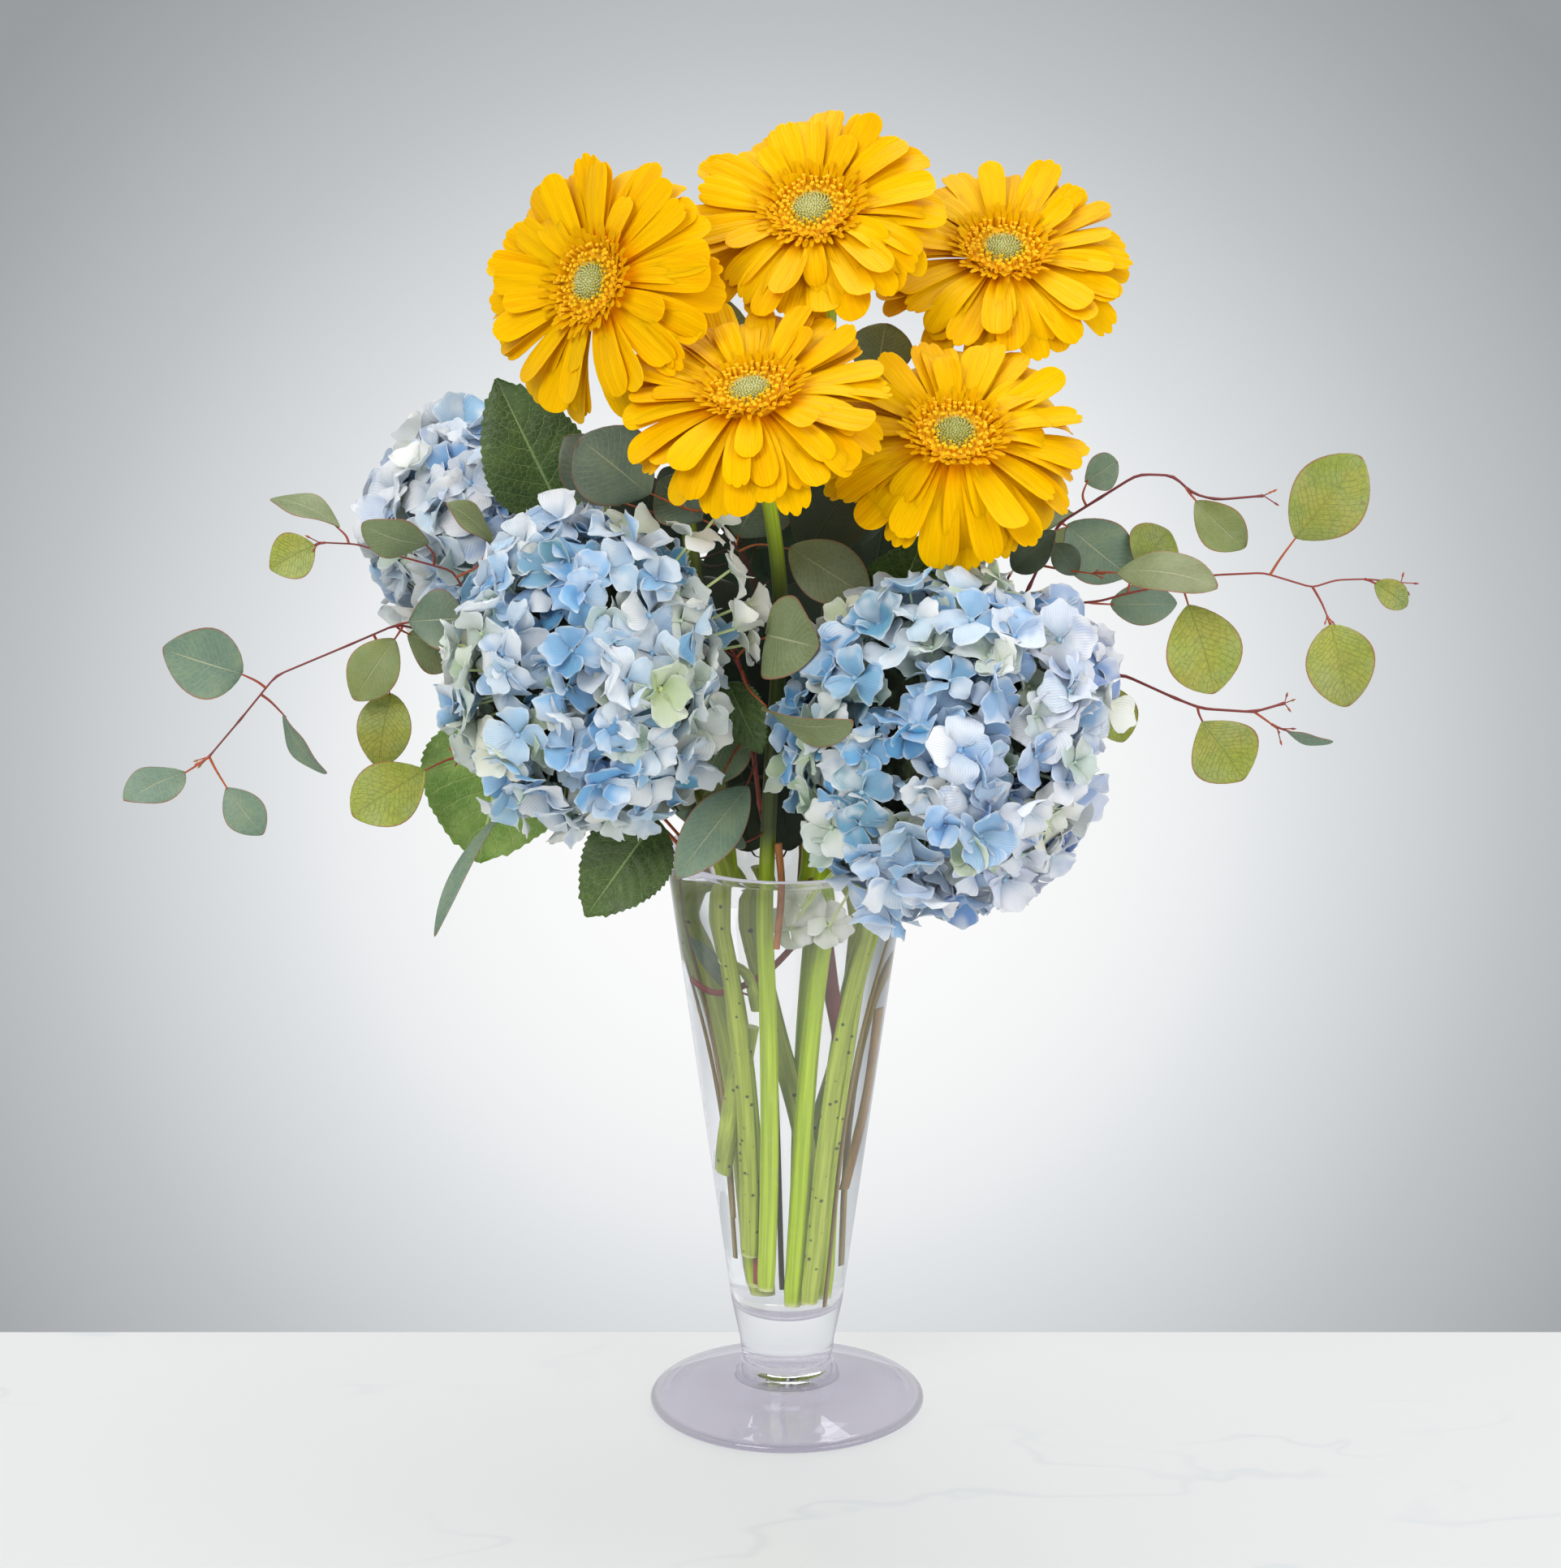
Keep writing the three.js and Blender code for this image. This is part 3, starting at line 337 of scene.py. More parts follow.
def sheet(grid, thickness):
    """Points and faces of a closed thin sheet about a grid of points; its edge is half as thick."""
    normal = unit(np.cross(np.gradient(grid, axis=0), np.gradient(grid, axis=1)))
    half = np.full(grid.shape[:2], thickness / 2)
    half[[0, -1], :] *= 0.5
    half[:, [0, -1]] *= 0.5
    offset = normal * half[..., None]
    points = np.concatenate([(grid + offset).reshape(-1, 3), (grid - offset).reshape(-1, 3)])
    return points, [sheet_faces(*grid.shape[:2])]


def run_of(points):
    """How far along its line each point is."""
    return np.concatenate([[0], np.cumsum(np.linalg.norm(np.diff(points, axis=0), axis=1))])


def evenly(points, spacing, least):
    """At least some number of points, about a spacing apart, on the straight lines between the given ones."""
    run = run_of(points)
    wanted = np.linspace(0, run[-1], max(least, round(run[-1] / spacing) + 1))
    return np.stack([np.interp(wanted, run, points[:, k]) for k in range(3)], -1)


def smooth_path(points, spacing):
    """Points about a spacing apart on a smooth curve through the given ones."""
    points = np.array(points, float)
    points = np.vstack([2 * points[0] - points[1], points, 2 * points[-1] - points[-2]])
    knots = np.concatenate([[0], np.cumsum(np.linalg.norm(np.diff(points, axis=0), axis=1) ** 0.5)])
    fine = []
    for a in range(1, len(points) - 2):
        t0, t1, t2, t3 = knots[a - 1 : a + 3]
        p0, p1, p2, p3 = points[a - 1 : a + 3]
        for t in np.linspace(t1, t2, 24, endpoint=False):
            q1 = p0 + (p1 - p0) * (t - t0) / (t1 - t0)
            q2 = p1 + (p2 - p1) * (t - t1) / (t2 - t1)
            q3 = p2 + (p3 - p2) * (t - t2) / (t3 - t2)
            r1 = q1 + (q2 - q1) * (t - t0) / (t2 - t0)
            r2 = q2 + (q3 - q2) * (t - t1) / (t3 - t1)
            fine.append(r1 + (r2 - r1) * (t - t1) / (t2 - t1))
    return evenly(np.array([*fine, points[-2]]), spacing, 3)


def kinked_path(points, spacing):
    """Points along straight lines between the given ones, a little rounded where they meet."""
    path = evenly(np.array(points, float), spacing, 4)
    path[1:-1] = path[:-2] / 4 + path[1:-1] / 2 + path[2:] / 4
    return path


def ring_faces(rings, sides):
    """Faces of a stack of rings, closed at both ends."""
    index = np.arange(rings * sides).reshape(rings, sides)
    beside = np.roll(index, -1, axis=1)
    wall = np.stack([index[:-1], beside[:-1], beside[1:], index[1:]], -1).reshape(-1, 4)
    return [wall, index[:1, ::-1], index[-1:]]


def circle(side, other, sides):
    """Points of a ring with a radius of one, on two directions at right angles."""
    angles = np.arange(sides) * 2 * math.pi / sides
    return np.outer(np.cos(angles), side) + np.outer(np.sin(angles), other)


def tube(path, radii, sides):
    """Points and faces of a round tube along a path, with a radius at each of its points."""
    ahead = unit(np.gradient(path, axis=0))
    side = unit(np.cross(ahead[0], (0.31, 0.2, 0.93) if abs(ahead[0][2]) < 0.9 else (1, 0.1, 0)))
    rings = []
    for point, along, radius in zip(path, ahead, np.broadcast_to(radii, len(path))):
        side = unit(side - along * (along @ side))
        rings.append(point + radius * circle(side, np.cross(along, side), sides))
    return np.concatenate(rings), ring_faces(len(path), sides)


def turned_form(base, axis, profile, sides):
    """Points and faces of a form turned about an axis, from pairs of radius and height."""
    axis = unit(axis)
    side = unit(np.cross(axis, (0.3, 0.9, 0.2)))
    ring = circle(side, np.cross(axis, side), sides)
    points = np.concatenate([np.asarray(base) + axis * height + ring * radius for radius, height in profile])
    return points, ring_faces(len(profile), sides)


def shown(name, data):
    """An object of the scene, from a mesh, a lamp or a camera."""
    made = bpy.data.objects.new(name, data)
    bpy.context.collection.objects.link(made)
    return made


# What the finishes read at each point: shares along and across, one draw for each petal or leaf,
# a second draw for each flower or, on twigs, a share of painted shade, and how far out or up the point is
VALUES = ("along", "across", "tone", "tint", "reach")


class Growth:
    """Gathers the sheets, tubes and turned forms of one piece."""

    def __init__(self):
        self.points = []
        self.faces = []
        self.finishes = []
        self.values = {name: [] for name in VALUES}
        self.count = 0

    def add(self, points, faces, finish=0, **values):
        for block in faces:
            self.faces.extend((block + self.count).tolist())
            self.finishes.extend([finish] * len(block))
        self.points.append(points)
        for name in VALUES:
            self.values[name].append(np.broadcast_to(values.get(name, 0.0), len(points)))
        self.count += len(points)

    def add_sheet(self, grid, thickness, finish=0, **values):
        both = {name: np.tile(np.ravel(v), 2) if np.ndim(v) else v for name, v in values.items()}
        self.add(*sheet(grid, thickness), finish, **both)

    def add_tube(self, path, radii, sides, finish=0, **values):
        share = np.repeat(np.linspace(0, 1, len(path)), sides)
        around = np.tile(np.arange(sides) / sides, len(path))
        self.add(*tube(path, radii, sides), finish, **{"along": share, "across": around, **values})

    def add_turned(self, base, axis, profile, sides, finish=0, **values):
        share = np.repeat(np.linspace(0, 1, len(profile)), sides)
        self.add(*turned_form(base, axis, profile, sides), finish, **{"along": share, **values})

    def piece(self, name, finishes, node, slot):
        """Makes the piece, which stands for a node of the frame."""
        mesh = bpy.data.meshes.new(name)
        mesh.from_pydata((np.concatenate(self.points) * MM).tolist(), [], self.faces)
        for finish in finishes:
            mesh.materials.append(finish)
        mesh.polygons.foreach_set("material_index", self.finishes)
        for value, given in self.values.items():
            layer = mesh.attributes.new(value, "FLOAT", "POINT")
            layer.data.foreach_set("value", np.concatenate(given).astype(np.float32))
        mesh.shade_smooth()
        mesh.set_sharp_from_angle(angle=math.radians(60))
        made = shown(name, mesh)
        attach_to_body(made, "root")
        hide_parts(node)


class Clearing:
    """Remembers where sheets lie, so that later ones keep clear of the other pieces."""

    def __init__(self):
        self.owners = []
        self.low = []
        self.high = []
        self.trees = []

    @staticmethod
    def tree(points, faces):
        polygons = [face for block in faces for face in block.tolist()]
        return BVHTree.FromPolygons(points.tolist(), polygons)

    def place(self, owner, points, faces):
        self.owners.append(owner)
        self.low.append(points.min(axis=0))
        self.high.append(points.max(axis=0))
        self.trees.append(self.tree(points, faces))

    def is_clear(self, owner, points, faces):
        if not self.owners:
            return True
        low, high = points.min(axis=0), points.max(axis=0)
        near = (np.array(self.low) < high).all(axis=1) & (np.array(self.high) > low).all(axis=1)
        others = [i for i in np.flatnonzero(near) if self.owners[i] != owner]
        if not others:
            return True
        mine = self.tree(points, faces)
        return not any(mine.overlap(self.trees[i]) for i in others)


clearing = Clearing()


def place_clear(growth, owner, variants, make, thickness):
    """Adds the first variant of a sheet that is clear of every other piece, and gives that variant."""
    for variant in variants:
        grid, values = make(variant)
        shell = sheet(grid, thickness)
        if clearing.is_clear(owner, *shell):
            clearing.place(owner, *shell)
            growth.add_sheet(grid, thickness, **values)
            return variant
    return None


# ---------------------------------------------------------------- finishes


def paint(code):
    """A colour as the shaders take it, from its screen code."""
    parts = [int(code[i : i + 2], 16) / 255 for i in (1, 3, 5)]
    return (*[c / 12.92 if c <= 0.04045 else ((c + 0.055) / 1.055) ** 2.4 for c in parts], 1.0)


class Link:
    """One output of a shader node. Arithmetic on it adds Math nodes."""

    def __init__(self, finish, socket):
        self.finish = finish
        self.socket = socket

    def math(self, operation, *inputs):
        return self.finish.node("ShaderNodeMath", {"operation": operation}, dict(enumerate(inputs)))

    def __add__(self, other):
        return self.math("ADD", self, other)

    def __mul__(self, other):
        return self.math("MULTIPLY", self, other)

    def __sub__(self, other):
        return self.math("SUBTRACT", self, other)

    def __rsub__(self, other):
        return self.math("SUBTRACT", other, self)

    def __truediv__(self, other):
        return self.math("DIVIDE", self, other)

    def __pow__(self, other):
        return self.math("POWER", self, other)

    def __abs__(self):
        return self.math("ABSOLUTE", self)

    def sine(self):
        return self.math("SINE", self)

    def stripes(self):
        """0 at each whole number and 1 midway between them."""
        return abs((self * math.pi).sine())

    def most(self, other):
        return self.math("MAXIMUM", self, other)

    def above(self, level):
        """1 above a level and 0 under it."""
        return self.math("GREATER_THAN", self, level)

    def ramp(self, low, high):
        """0 below low, 1 above high and smooth between them; low may be the larger."""
        settings = {"interpolation_type": "SMOOTHSTEP"}
        inputs = {"Value": self, "From Min": low, "From Max": high}
        return self.finish.node("ShaderNodeMapRange", settings, inputs)

    def ramp_mm(self, low, high):
        """The same ramp, from places in millimetres."""
        return self.ramp(low * MM, high * MM)


class Finish:
    """A material, with its nodes made by expressions. A text among their inputs is a colour's screen code."""

    def __init__(self, name):
        self.material = bpy.data.materials.new(name)
        self.material.use_nodes = True
        self.tree = self.material.node_tree
        self.tree.nodes.clear()

    def node(self, kind, settings=None, inputs=None, output=0):
        made = self.tree.nodes.new(kind)
        for name, value in (settings or {}).items():
            setattr(made, name, value)
        for name, value in (inputs or {}).items():
            if isinstance(value, Link):
                self.tree.links.new(value.socket, made.inputs[name])
            else:
                made.inputs[name].default_value = paint(value) if isinstance(value, str) else value
        return Link(self, made.outputs[output])

    def values(self, *names):
        """What a piece's points say under some of VALUES."""
        return [self.node("ShaderNodeAttribute", {"attribute_name": name}, output="Fac") for name in names]

    def here(self):
        """Each point's place in the object's own space, in metres."""
        return self.node("ShaderNodeTexCoord", output="Object")

    def axes(self):
        """The same place as three numbers: x, y and z."""
        parts = self.node("ShaderNodeSeparateXYZ", {}, {0: self.here()}).socket.node
        return [Link(self, socket) for socket in parts.outputs]

    def point(self, x, y, z):
        return self.node("ShaderNodeCombineXYZ", {}, {0: x, 1: y, 2: z})

    def noise(self, scale, detail=2.0, point=None):
        """Soft blotches; scale is their number in a metre."""
        inputs = {"Vector": point or self.here(), "Scale": scale, "Detail": detail}
        return self.node("ShaderNodeTexNoise", {}, inputs)

    def cells(self, scale, feature="F1"):
        """Distance from the middles of scattered cells, or from their edges; scale as for noise."""
        inputs = {"Vector": self.here(), "Scale": scale}
        return self.node("ShaderNodeTexVoronoi", {"feature": feature}, inputs, "Distance")

    def blend(self, share, first, second):
        """The first colour where share is 0, the second where it is 1."""
        settings = {"data_type": "RGBA"}
        return self.node("ShaderNodeMix", settings, {0: share, 6: first, 7: second}, output=2)

    def stops(self, share, colours):
        """The colour at a share, from a table of shares and their colours."""
        made = self.node("ShaderNodeValToRGB", {}, {0: share})
        elements = made.socket.node.color_ramp.elements
        for _ in range(len(colours) - 2):
            elements.new(0.5)
        for element, (place, colour) in zip(elements, colours.items()):
            element.position, element.color = place, paint(colour)
        return made

    def glow(self, colour, strength=1.0):
        return self.node("ShaderNodeEmission", {}, {"Color": colour, "Strength": strength})

    def mix(self, share, first, second):
        """The first shader where share is 0, the second where it is 1."""
        return self.node("ShaderNodeMixShader", {}, {0: share, 1: first, 2: second})

    def close(self, shader):
        output = self.tree.nodes.new("ShaderNodeOutputMaterial")
        self.tree.links.new(shader.socket, output.inputs["Surface"])
        return self.material

    def skin(self, colour, roughness, height, depth, soft=(), others=None):
        """Closes the material as a surface that is raised by height times a depth in millimetres.

        Soft is the share of light that goes under the surface, how far it goes in metres, and how much
        of that way its red, green and blue go.
        """
        raised = self.node("ShaderNodeBump", {}, {"Height": height, "Distance": depth * MM})
        inputs = {"Base Color": colour, "Roughness": roughness, "Normal": raised, **(others or {})}
        inputs.update(zip(("Subsurface Weight", "Subsurface Scale", "Subsurface Radius"), soft))
        return self.close(self.node("ShaderNodeBsdfPrincipled", {}, inputs))


def ray_yellow():
    finish = Finish("ray_yellow")
    along, across, tone = finish.values("along", "across", "tone")
    streak = finish.noise(1.0, 3.0, finish.point(along * 3, across * 9 + tone * 40, tone * 17))
    colour = finish.blend(streak.ramp(0.3, 0.75), "#E6A200", "#F2B700")
    colour = finish.blend(tone * 0.4, colour, "#F6C200")
    colour = finish.blend(along.ramp(0.45, 0.04) * 0.7, colour, "#EE8A00")
    rib = (across * 26 + streak * 3).sine() * 0.25 + streak * 0.6
    roughness = streak.ramp(0.2, 0.9) * 0.12 + 0.42
    shine = {"Specular IOR Level": 0.22, "Specular Tint": (1.0, 0.72, 0.05, 1.0)}
    return finish.skin(colour, roughness, rib, 0.14, (0.25, 0.003, (1.0, 0.6, 0.1)), shine)


def disc_gold():
    finish = Finish("disc_gold")
    along, tone, reach = finish.values("along", "tone", "reach")
    colour = finish.stops(reach, {0.0: "#CCC22C", 0.3: "#F2C30E", 0.7: "#FCC406", 1.0: "#FDBA04"})
    colour = finish.blend(along.ramp(0.5, 0.1) * 0.35, colour, "#CC9406")
    colour = finish.blend(tone * 0.4, colour, "#FFD224")
    grain = finish.noise(2600.0)
    return finish.skin(colour, grain * 0.3 + 0.5, grain, 0.12, (0.2, 0.002), {"Specular IOR Level": 0.25})


def eye_green():
    finish = Finish("eye_green")
    along, tone, reach, young = finish.values("along", "tone", "reach", "tint")
    colour = finish.stops(reach, {0.0: "#AEB25E", 0.5: "#B2AE44", 1.0: "#BCA824"})
    pale = finish.stops(reach, {0.0: "#D8D49C", 0.6: "#CAC46C", 1.0: "#C0B036"})
    colour = finish.blend(young, colour, pale)
    colour = finish.blend(along.ramp(0.6, 0.0) * 0.5, colour, "#76802A")
    colour = finish.blend(tone * 0.4, colour, "#E6E8C4")
    grain = finish.noise(3000.0)
    return finish.skin(colour, grain * 0.25 + 0.5, grain, 0.1, (0.15, 0.002))


def stalk(name, low, high, speck, gloss):
    """Fresh stalk: streaks between two greens, a share of specks, a paler cut end and painted shade above the
    rim.
    """
    finish = Finish(name)
    along, around = finish.values("along", "across")
    streak = finish.noise(1.0, 3.0, finish.point(along * 5, (around * math.tau).sine() * 2, around * 9))
    colour = finish.blend(streak.ramp(0.3, 0.72), low, high)
    colour = finish.blend(finish.noise(130.0).ramp(0.62, 0.8) * 0.5, colour, "#B7C65A")
    colour = finish.blend(finish.cells(190.0).ramp(0.2, 0.12) * speck, colour, "#4B4A22")
    colour = finish.blend(along.ramp(0.006, 0.0), colour, "#D3D69A")
    height = finish.axes()[2]
    painted_shade = height.ramp_mm(*STALK_SHADE_LOW_Z) * height.ramp_mm(*STALK_SHADE_HIGH_Z)
    # Painted shade: the stalks darken between those heights
    colour = finish.blend(painted_shade * 0.9, colour, "#232C14")
    return finish.skin(colour, streak * 0.2 + gloss, streak, 0.25, (0.2, 0.003, (0.6, 1.0, 0.2)))


def floret_blue():
    """Tone draws the petal's depth of colour, tint how cream its flower is and reach how lilac it is."""
    finish = Finish("floret_blue")
    along, across, tone, tint, lilac = finish.values("along", "across", "tone", "tint", "reach")
    sky = finish.stops(tone, {
        0.0: "#F2F9FE", 0.25: "#C8E3FA", 0.5: "#92C5F3", 0.75: "#67A6DE", 1.0: "#4388AC",
    })
    heather = finish.stops(tone, {0.0: "#F4F3FD", 0.35: "#D2D5F6", 0.7: "#A0AEEA", 1.0: "#7286D2"})
    cream = finish.stops(tone, {0.0: "#F8F8EE", 0.35: "#EEF1DA", 0.65: "#D8E4BE", 1.0: "#B0C898"})
    inputs = {"Vector": finish.here(), "W": tone * 23, "Scale": 62.0, "Detail": 2.0}
    patch = finish.node("ShaderNodeTexNoise", {"noise_dimensions": "4D"}, inputs)
    colour = finish.blend(lilac, sky, heather)
    colour = finish.blend(patch.ramp(0.46, 0.3) * 0.6, colour, finish.blend(lilac, "#4C8CCB", "#7585CE"))
    colour = finish.blend(tint, colour, cream)
    colour = finish.blend(patch.ramp(0.5, 0.7) * 0.68, colour, "#F2F7FA")
    heart = finish.blend(tint, "#5A93C8", "#B7CC77")
    colour = finish.blend(along.ramp(0.6, 0.05) * 0.42, colour, heart)
    fan = across * (9.0 - along * 2.0) + tone * 11
    vein = fan.stripes().ramp(0.24, 0.02) * along.ramp(0.0, 0.3)
    colour = finish.blend(vein * 0.3, colour, finish.blend(tint, "#5F90CC", "#B5CB9A"))
    rim = along.ramp(0.84, 1.0).most(abs(across).ramp(0.8, 1.0))
    colour = finish.blend(rim * 0.42, colour, "#F3F8F8")
    soft = (0.38, 0.004, (0.7, 0.85, 1.0))
    return finish.skin(colour, patch * 0.2 + 0.48, vein + patch * 2, 0.12, soft, {"Specular IOR Level": 0.3})


def floret_heart():
    """The bead in a floret's middle and the stalk under it."""
    finish = Finish("floret_heart")
    tone, tint = finish.values("tone", "tint")
    grain = finish.noise(1500.0)
    colour = finish.blend(tint, "#6FA3D2", "#C9D67A")
    colour = finish.blend(tone * 0.5, colour, "#A9C9D8")
    colour = finish.blend(grain.ramp(0.4, 0.8) * 0.4, colour, "#DDE5C0")
    return finish.skin(colour, grain * 0.3 + 0.4, grain, 0.1, (0.15, 0.002))


def head_shade():
    """What shows between the florets: the crowded stalks, darkened with painted shade."""
    finish = Finish("head_shade")
    knot = finish.noise(150.0, 4.0)
    colour = finish.stops(knot, {0.3: "#1C1A12", 0.5: "#3C3E26", 0.66: "#5B6844", 0.8: "#7D8C7C"})
    return finish.skin(colour, knot * 0.2 + 0.7, knot, 2.5)


def hydrangea_leaf_green():
    """Tint is how bright and yellow the leaf is. Veins leave the midrib in pairs and curve forward."""
    finish = Finish("hydrangea_leaf_green")
    along, across, tone, tint = finish.values("along", "across", "tone", "tint")
    out = abs(across)
    run = (along - out * 0.2 - out * out * 0.06) * VEIN_PAIRS
    side_vein = run.stripes().ramp(0.16, 0.03) * out.ramp(0.97, 0.8)
    vein = (side_vein * 0.75).most(out.ramp(0.045, 0.015))
    fine = finish.cells(420.0, "DISTANCE_TO_EDGE").ramp(0.12, 0.02)
    blotch = finish.noise(70.0, 3.0)
    dark = finish.blend(blotch.ramp(0.3, 0.7), "#28380E", "#445A20")
    bright = finish.blend(blotch.ramp(0.3, 0.7), "#6A9230", "#9AB656")
    colour = finish.blend(tint, dark, bright)
    colour = finish.blend(tone * 0.3, colour, "#55783A")
    pale = finish.blend(tint, "#8FAA6C", "#C6D68A")
    colour = finish.blend(fine * 0.16, colour, pale)
    colour = finish.blend(vein * 0.7, colour, pale)
    height = 1 - vein * 0.8 - fine * 0.25 + blotch * 0.3
    return finish.skin(colour, blotch * 0.15 + 0.36, height, 0.5, (0.08, 0.002, (0.4, 1.0, 0.15)))


def eucalyptus_leaf_green():
    """Tone runs from a dark green of painted shade through grey green to a yellow one; reach is 1 at the
    margin.
    """
    finish = Finish("eucalyptus_leaf_green")
    along, across, tone, tint, margin = finish.values("along", "across", "tone", "tint", "reach")
    out = abs(across)
    run = (along - out * 0.3) * 15 + tone * 3
    side_vein = run.stripes().ramp(0.26, 0.04) * out.ramp(0.95, 0.7)
    rib = out.ramp(0.04, 0.012) * along.ramp(1.0, 0.8)
    blotch = finish.noise(60.0, 3.0)
    leaf = finish.stops(tone, {
        0.0: "#1D281D", 0.14: "#465446", 0.28: "#67806F",
        0.55: "#757F4A", 0.8: "#8C9838", 1.0: "#A2A93C",
    })
    # lit fades out the marks and veins on leaves that are dark with painted shade
    lit = tone.ramp(0.05, 0.3)
    colour = finish.blend(blotch.ramp(0.4, 0.75) * lit * 0.4, leaf, "#98A57C")
    colour = finish.blend(blotch.ramp(0.42, 0.2) * 0.35, colour, "#4C5A36")
    colour = finish.blend(tint * along.ramp(0.0, 0.9) * lit * 0.3, colour, "#8A5A45")
    mesh = finish.cells(330.0, "DISTANCE_TO_EDGE").ramp(0.12, 0.01) * lit
    dark_net = tone.ramp(0.5, 0.8)
    ripe = finish.noise(48.0, 3.0).ramp(0.46, 0.68) * dark_net
    colour = finish.blend(ripe * 0.45, colour, "#B5A444")
    vein_colour = finish.blend(dark_net, "#AEB992", "#55631F")
    colour = finish.blend(mesh * (dark_net * 0.2 + 0.12), colour, vein_colour)
    colour = finish.blend(side_vein * lit * 0.42, colour, vein_colour)
    spot = finish.noise(240.0).ramp(0.7, 0.76)
    colour = finish.blend(spot * lit * 0.4, colour, "#7D5536")
    colour = finish.blend(rib * lit * 0.42, colour, finish.blend(dark_net, "#D5D3B0", "#8E9440"))
    colour = finish.blend(margin.ramp(0.5, 0.95) * lit * 0.75, colour, "#96503F")
    height = blotch * 0.6 - side_vein * 0.3 - rib
    return finish.skin(colour, blotch * 0.15 + 0.42, height, 0.25, (0.1, 0.002, (0.6, 1.0, 0.3)))


def twig_red():
    """Tone runs from wine red through orange to brown bark, and tint is the share of painted shade on the
    twig.
    """
    finish = Finish("twig_red")
    along, around, tone, shade = finish.values("along", "across", "tone", "tint")
    streak = finish.noise(1.0, 3.0, finish.point(along * 9, (around * math.tau).sine(), tone * 9))
    colour = finish.stops(tone, {0.0: "#7C2F35", 0.4: "#A5402F", 0.7: "#C4622C", 1.0: "#8E8B4E"})
    colour = finish.blend(streak.ramp(0.35, 0.75) * 0.55, colour, "#5E3326")
    colour = finish.blend(streak.ramp(0.65, 0.9) * 0.4, colour, "#A98A62")
    # Painted shade, as much as tint says
    colour = finish.blend(shade * 0.9, colour, "#1F2317")
    return finish.skin(colour, streak * 0.25 + 0.4, streak, 0.3)


def clear(name, tint, foot_tint_and_shade, ior):
    """Clear glass or water, its tint stronger in the foot than above FOOT_TINT_Z and darker toward the foot's
    middle and rim, part glass colour and part painted shade.

    Lamps shine straight through it, so what stands inside is lit. Light caught between its surfaces, after
    several glossy bounces, comes out as a painted pale glow, and grazing edges, most of all on the stub, get
    a painted lilac glow.
    """
    finish = Finish(name)
    x, y, height = finish.axes()
    out = (x * x + y * y) ** 0.5
    # Foot darker toward its middle and rim: part glass tint, part painted shade
    foot = finish.blend(out.ramp_mm(*FOOT_MIDDLE) * 0.5, foot_tint_and_shade, "#BFB9C9")
    foot = finish.blend(out.ramp_mm(*FOOT_RIM) * 0.7, foot, "#A59DB3")
    colour = finish.blend(height.ramp_mm(*FOOT_TINT_Z), foot, tint)
    inputs = {"Base Color": colour, "Roughness": 0.0, "Transmission Weight": 1.0, "IOR": ior}
    glass = finish.node("ShaderNodeBsdfPrincipled", {}, inputs)
    passing = finish.node("ShaderNodeBsdfTransparent", {}, {"Color": tint})
    shadow = finish.node("ShaderNodeLightPath", output="Is Shadow Ray")
    # Painted pale glow for light caught between the surfaces
    painted_glow_share = Link(finish, shadow.socket.node.outputs["Glossy Depth"]).above(2.5)
    glass_and_painted_glow = finish.mix(painted_glow_share, glass, finish.glow("#D9D8E2", 0.8))
    grazing = finish.node("ShaderNodeLayerWeight", {}, {"Blend": 0.5}, output="Facing")
    stub = height.ramp_mm(*STUB_HIGH_Z) * height.ramp_mm(*STUB_LOW_Z)
    # Painted lilac glow at grazing edges, more on the stub
    dark = grazing.ramp(0.8, 1.0) * 0.5 + grazing.ramp(0.6, 0.88) * stub * 0.5
    glass_and_painted_glow = finish.mix(dark, glass_and_painted_glow, finish.glow("#9F9BAE"))
    return finish.close(finish.mix(shadow, glass_and_painted_glow, passing))


RAY_YELLOW = ray_yellow()
DISC_GOLD = disc_gold()
EYE_GREEN = eye_green()
GERBERA_STALK = stalk("gerbera_stalk", "#93AE10", "#C3DA26", 0.0, 0.32)
HYDRANGEA_STALK = stalk("hydrangea_stalk", "#8E9F2C", "#BECB50", 1.0, 0.34)
FLORET_BLUE = floret_blue()
FLORET_HEART = floret_heart()
HEAD_SHADE = head_shade()
HYDRANGEA_LEAF = hydrangea_leaf_green()
EUCALYPTUS_LEAF = eucalyptus_leaf_green()
TWIG_RED = twig_red()
VASE_GLASS = clear("vase_glass", "#FBFBFD", "#D9D5E0", 1.5)
VASE_WATER = clear("vase_water", "#FDFEFC", "#FDFEFC", 1.333)

# ---------------------------------------------------------------- vase and water


def quadratic(start, control, end, steps=12):
    """Points of a parabola arc, without its start."""
    shares = np.arange(1, steps + 1)[:, None] / steps
    start, control, end = (np.array(p, float) for p in (start, control, end))
    return [*((1 - shares) ** 2 * start + 2 * shares * (1 - shares) * control + shares**2 * end)]


def inner_radius(z):
    """The radius of the cone's inner side at a height."""
    return BOWL_RADIUS - WALL + CONE_SLOPE * (z - BOWL_Z)


